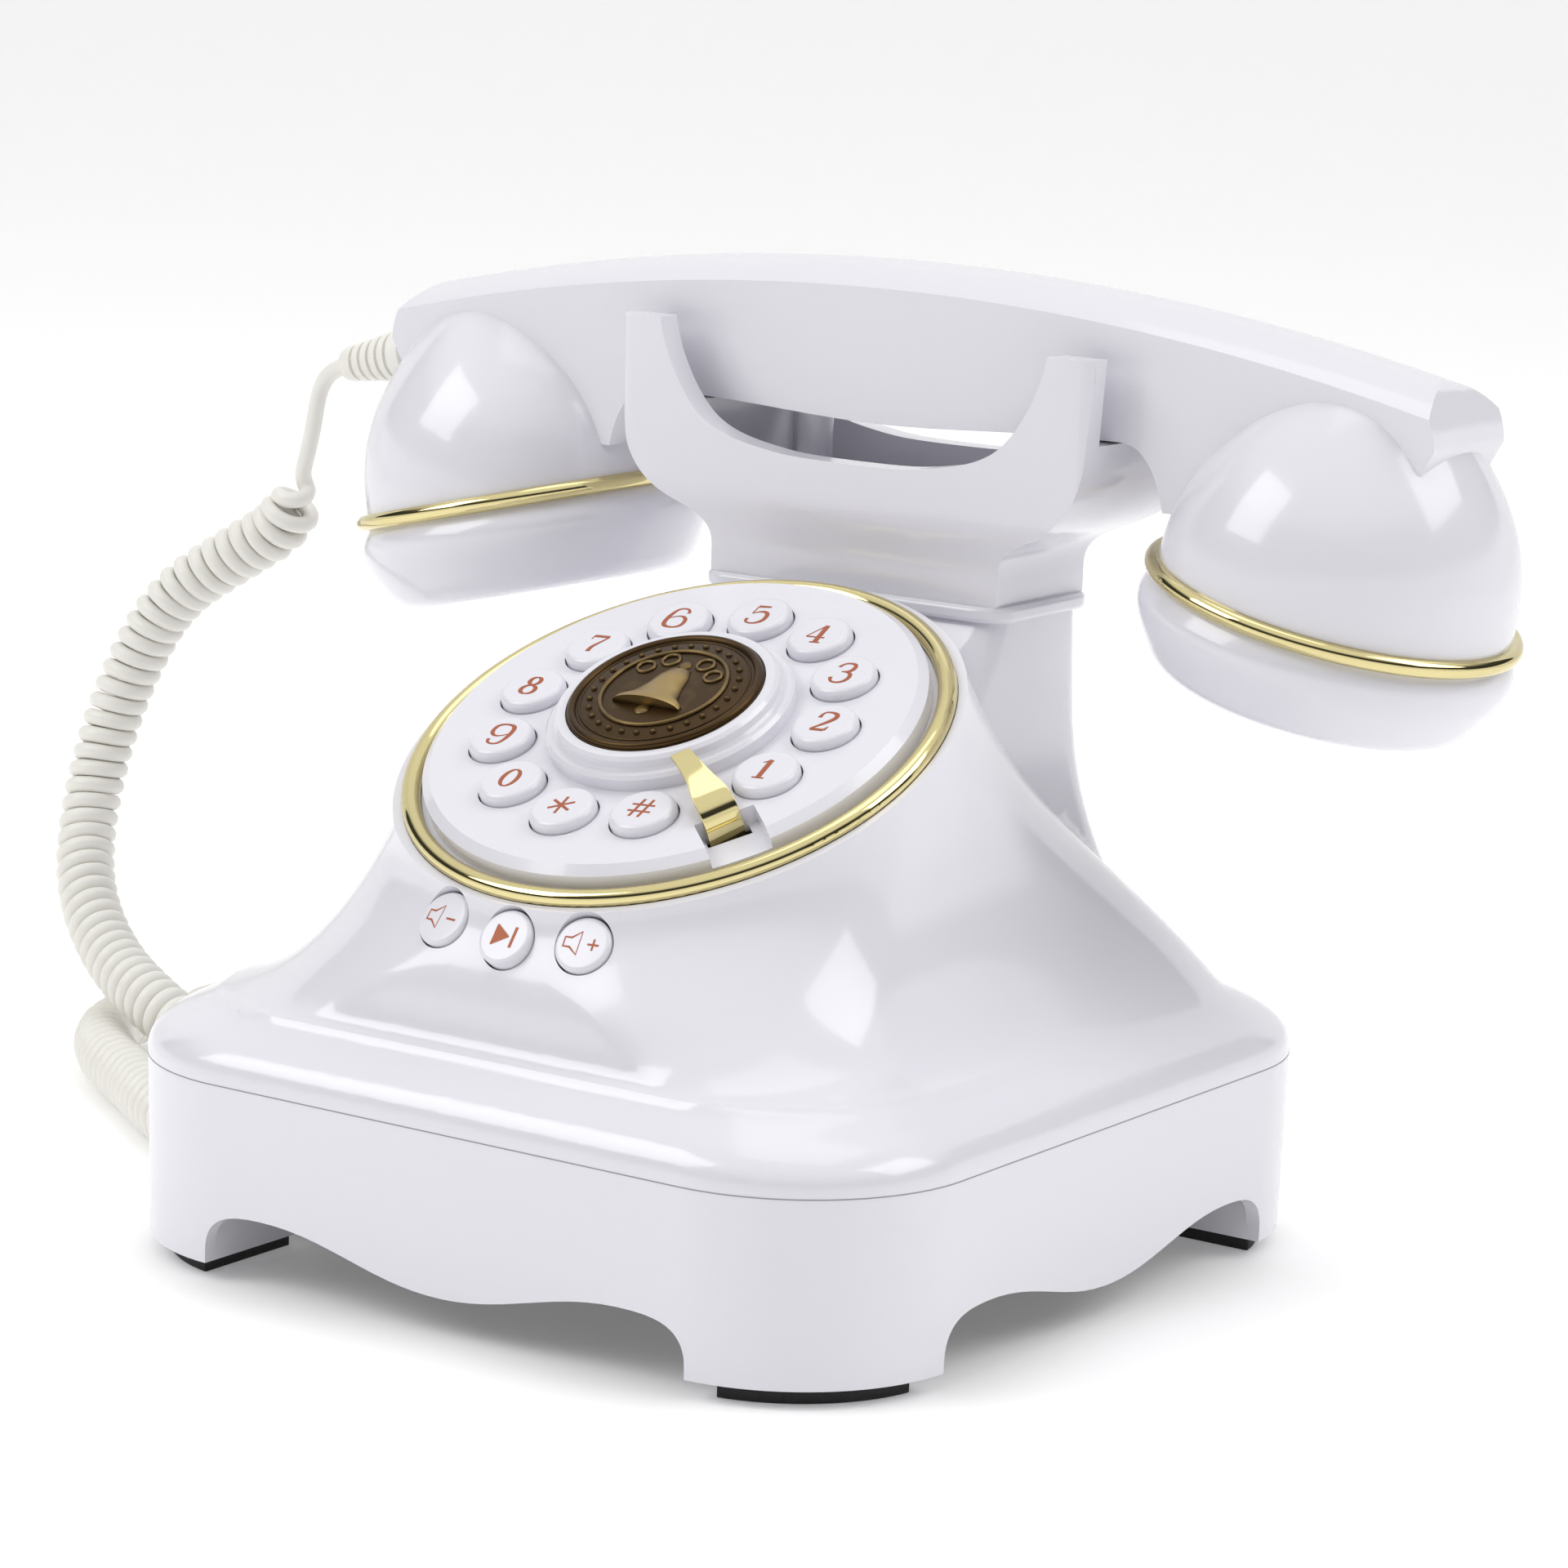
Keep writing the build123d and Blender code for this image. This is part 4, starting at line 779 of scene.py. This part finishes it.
class TELEPHONE_OT_stage(bpy.types.Operator):
    """Pale sweep, soft boxes and the camera"""

    bl_idname = "telephone.stage"
    bl_label = "Stage"

    def execute(self, context):
        self.floor()
        self.lights()
        self.camera(context)
        return {"FINISHED"}

    def floor(self):
        """A seamless paper sweep, square to the camera."""
        shape = bmesh.new()
        bmesh.ops.create_grid(shape, x_segments=1, y_segments=1, size=3.0)
        rear = [edge for edge in shape.edges if all(vert.co.y > 2.9 for vert in edge.verts)]
        lifted = bmesh.ops.extrude_edge_only(shape, edges=rear)
        raised = [item for item in lifted["geom"] if isinstance(item, bmesh.types.BMVert)]
        bmesh.ops.translate(shape, vec=(0, 0, 3.0), verts=raised)
        fold = [edge for edge in shape.edges if edge.is_manifold]
        bmesh.ops.bevel(
            shape, geom=fold, offset=1.2, segments=24, profile=0.5, affect="EDGES", material=-1, clamp_overlap=True
        )
        shape.transform(Matrix.Rotation(math.radians(34.6), 4, "Z"))
        for face in shape.faces:
            face.smooth = True
        mesh = bpy.data.meshes.new("paper_sweep")
        shape.to_mesh(mesh)
        shape.free()
        sweep = bpy.data.objects.new("paper_sweep", mesh)
        bpy.context.scene.collection.objects.link(sweep)
        material, tree, shader = surface("paper_sweep_white", "#FAFAFA", Roughness=0.6)
        shader.inputs["Emission Color"].default_value = (1, 1, 1, 1)
        shader.inputs["Emission Strength"].default_value = 0.16
        mesh.materials.append(material)

    def lights(self):
        """Three soft boxes and an even surround."""
        boxes = [
            ("left_box", (-0.88, -0.93, 1.12), 0.9, 8.0),
            ("right_box", (1.12, 0.47, 1.2), 0.9, 7.2),
            ("top_box", (-0.1, 0.25, 1.9), 1.0, 3.0),
        ]
        for name, place, size, power in boxes:
            light = bpy.data.lights.new(name, "AREA")
            light.shape = "SQUARE"
            light.size = size
            light.energy = power
            lamp = bpy.data.objects.new(name, light)
            lamp.location = place
            away = (Vector(place) - Vector((0, 0, 0.08))).normalized()
            level = Vector((0, 0, 1)).cross(away).normalized()
            frame_axes = Matrix((level, away.cross(level), away)).transposed()
            lamp.rotation_euler = frame_axes.to_euler()
            bpy.context.scene.collection.objects.link(lamp)
        world = bpy.data.worlds.new("white_room")
        world.use_nodes = True
        tree = world.node_tree
        direction = add_node(tree, "ShaderNodeTexCoord")
        axes = add_node(tree, "ShaderNodeSeparateXYZ", {"Vector": direction.outputs["Generated"]})
        bands = add_node(tree, "ShaderNodeValToRGB", {"Fac": axes.outputs["Z"]})
        stops = bands.color_ramp
        stops.elements[0].position = 0.1
        stops.elements[0].color = (1, 1, 1, 1)
        stops.elements[1].position = 0.85
        stops.elements[1].color = (1, 1, 1, 1)
        for position, grey in ((0.18, 0.04), (0.48, 0.06), (0.66, 0.9)):
            stops.elements.new(position).color = (grey, grey, grey, 1)
        background = tree.nodes["Background"]
        tree.links.new(bands.outputs["Color"], background.inputs["Color"])
        background.inputs["Strength"].default_value = 0.95
        bpy.context.scene.world = world
        bpy.context.scene.view_settings.view_transform = "Standard"

    def camera(self, context):
        """A long lens, a little above and to the right of the telephone."""
        data = bpy.data.cameras.new("camera")
        data.sensor_width = 36.0
        data.lens = 120.8
        data.shift_x = -0.0116
        data.shift_y = -0.0004
        data.clip_end = 50.0
        camera = bpy.data.objects.new("camera", data)
        right = Vector((0.8196, 0.5722, 0.0306))
        upward = Vector((-0.1341, 0.1396, 0.9811))
        back = right.cross(upward)
        turned = Matrix((right, upward, back)).transposed().to_4x4()
        camera.matrix_world = Matrix.Translation((0.5200, -0.7335, 0.2572)) @ turned
        context.scene.collection.objects.link(camera)
        context.scene.camera = camera


class TELEPHONE_PT_panel(bpy.types.Panel):
    """Sidebar panel with the telephone's operators and values"""

    bl_idname = "TELEPHONE_PT_panel"
    bl_label = "Telephone"
    bl_space_type = "VIEW_3D"
    bl_region_type = "UI"
    bl_category = "Telephone"

    def draw(self, context):
        for operator in OPERATORS:
            self.layout.operator(operator.bl_idname)
        for group in (context.scene.telephone_finishes, context.scene.telephone_sizes):
            for name in group.__annotations__:
                self.layout.prop(group, name)


OPERATORS = (
    TELEPHONE_OT_shells,
    TELEPHONE_OT_seam,
    TELEPHONE_OT_dial,
    TELEPHONE_OT_medallion,
    TELEPHONE_OT_buttons,
    TELEPHONE_OT_handset_trim,
    TELEPHONE_OT_cord,
    TELEPHONE_OT_fittings,
    TELEPHONE_OT_stage,
)
GROUPS = (TelephoneFinishes, TelephoneSizes)


def register():
    for item in GROUPS + OPERATORS + (TELEPHONE_PT_panel,):
        bpy.utils.register_class(item)
    bpy.types.Scene.telephone_finishes = bpy.props.PointerProperty(type=TelephoneFinishes)
    bpy.types.Scene.telephone_sizes = bpy.props.PointerProperty(type=TelephoneSizes)


def unregister():
    del bpy.types.Scene.telephone_finishes
    del bpy.types.Scene.telephone_sizes
    for item in reversed(GROUPS + OPERATORS + (TELEPHONE_PT_panel,)):
        bpy.utils.unregister_class(item)


finishes = {}


def main():
    register()
    finishes.update(make_finishes())
    bpy.ops.telephone.shells()
    bpy.ops.telephone.seam()
    bpy.ops.telephone.dial()
    bpy.ops.telephone.medallion()
    bpy.ops.telephone.buttons()
    bpy.ops.telephone.handset_trim()
    bpy.ops.telephone.cord()
    bpy.ops.telephone.fittings()
    bpy.ops.telephone.stage()


if __name__ == "__main__":
    main()
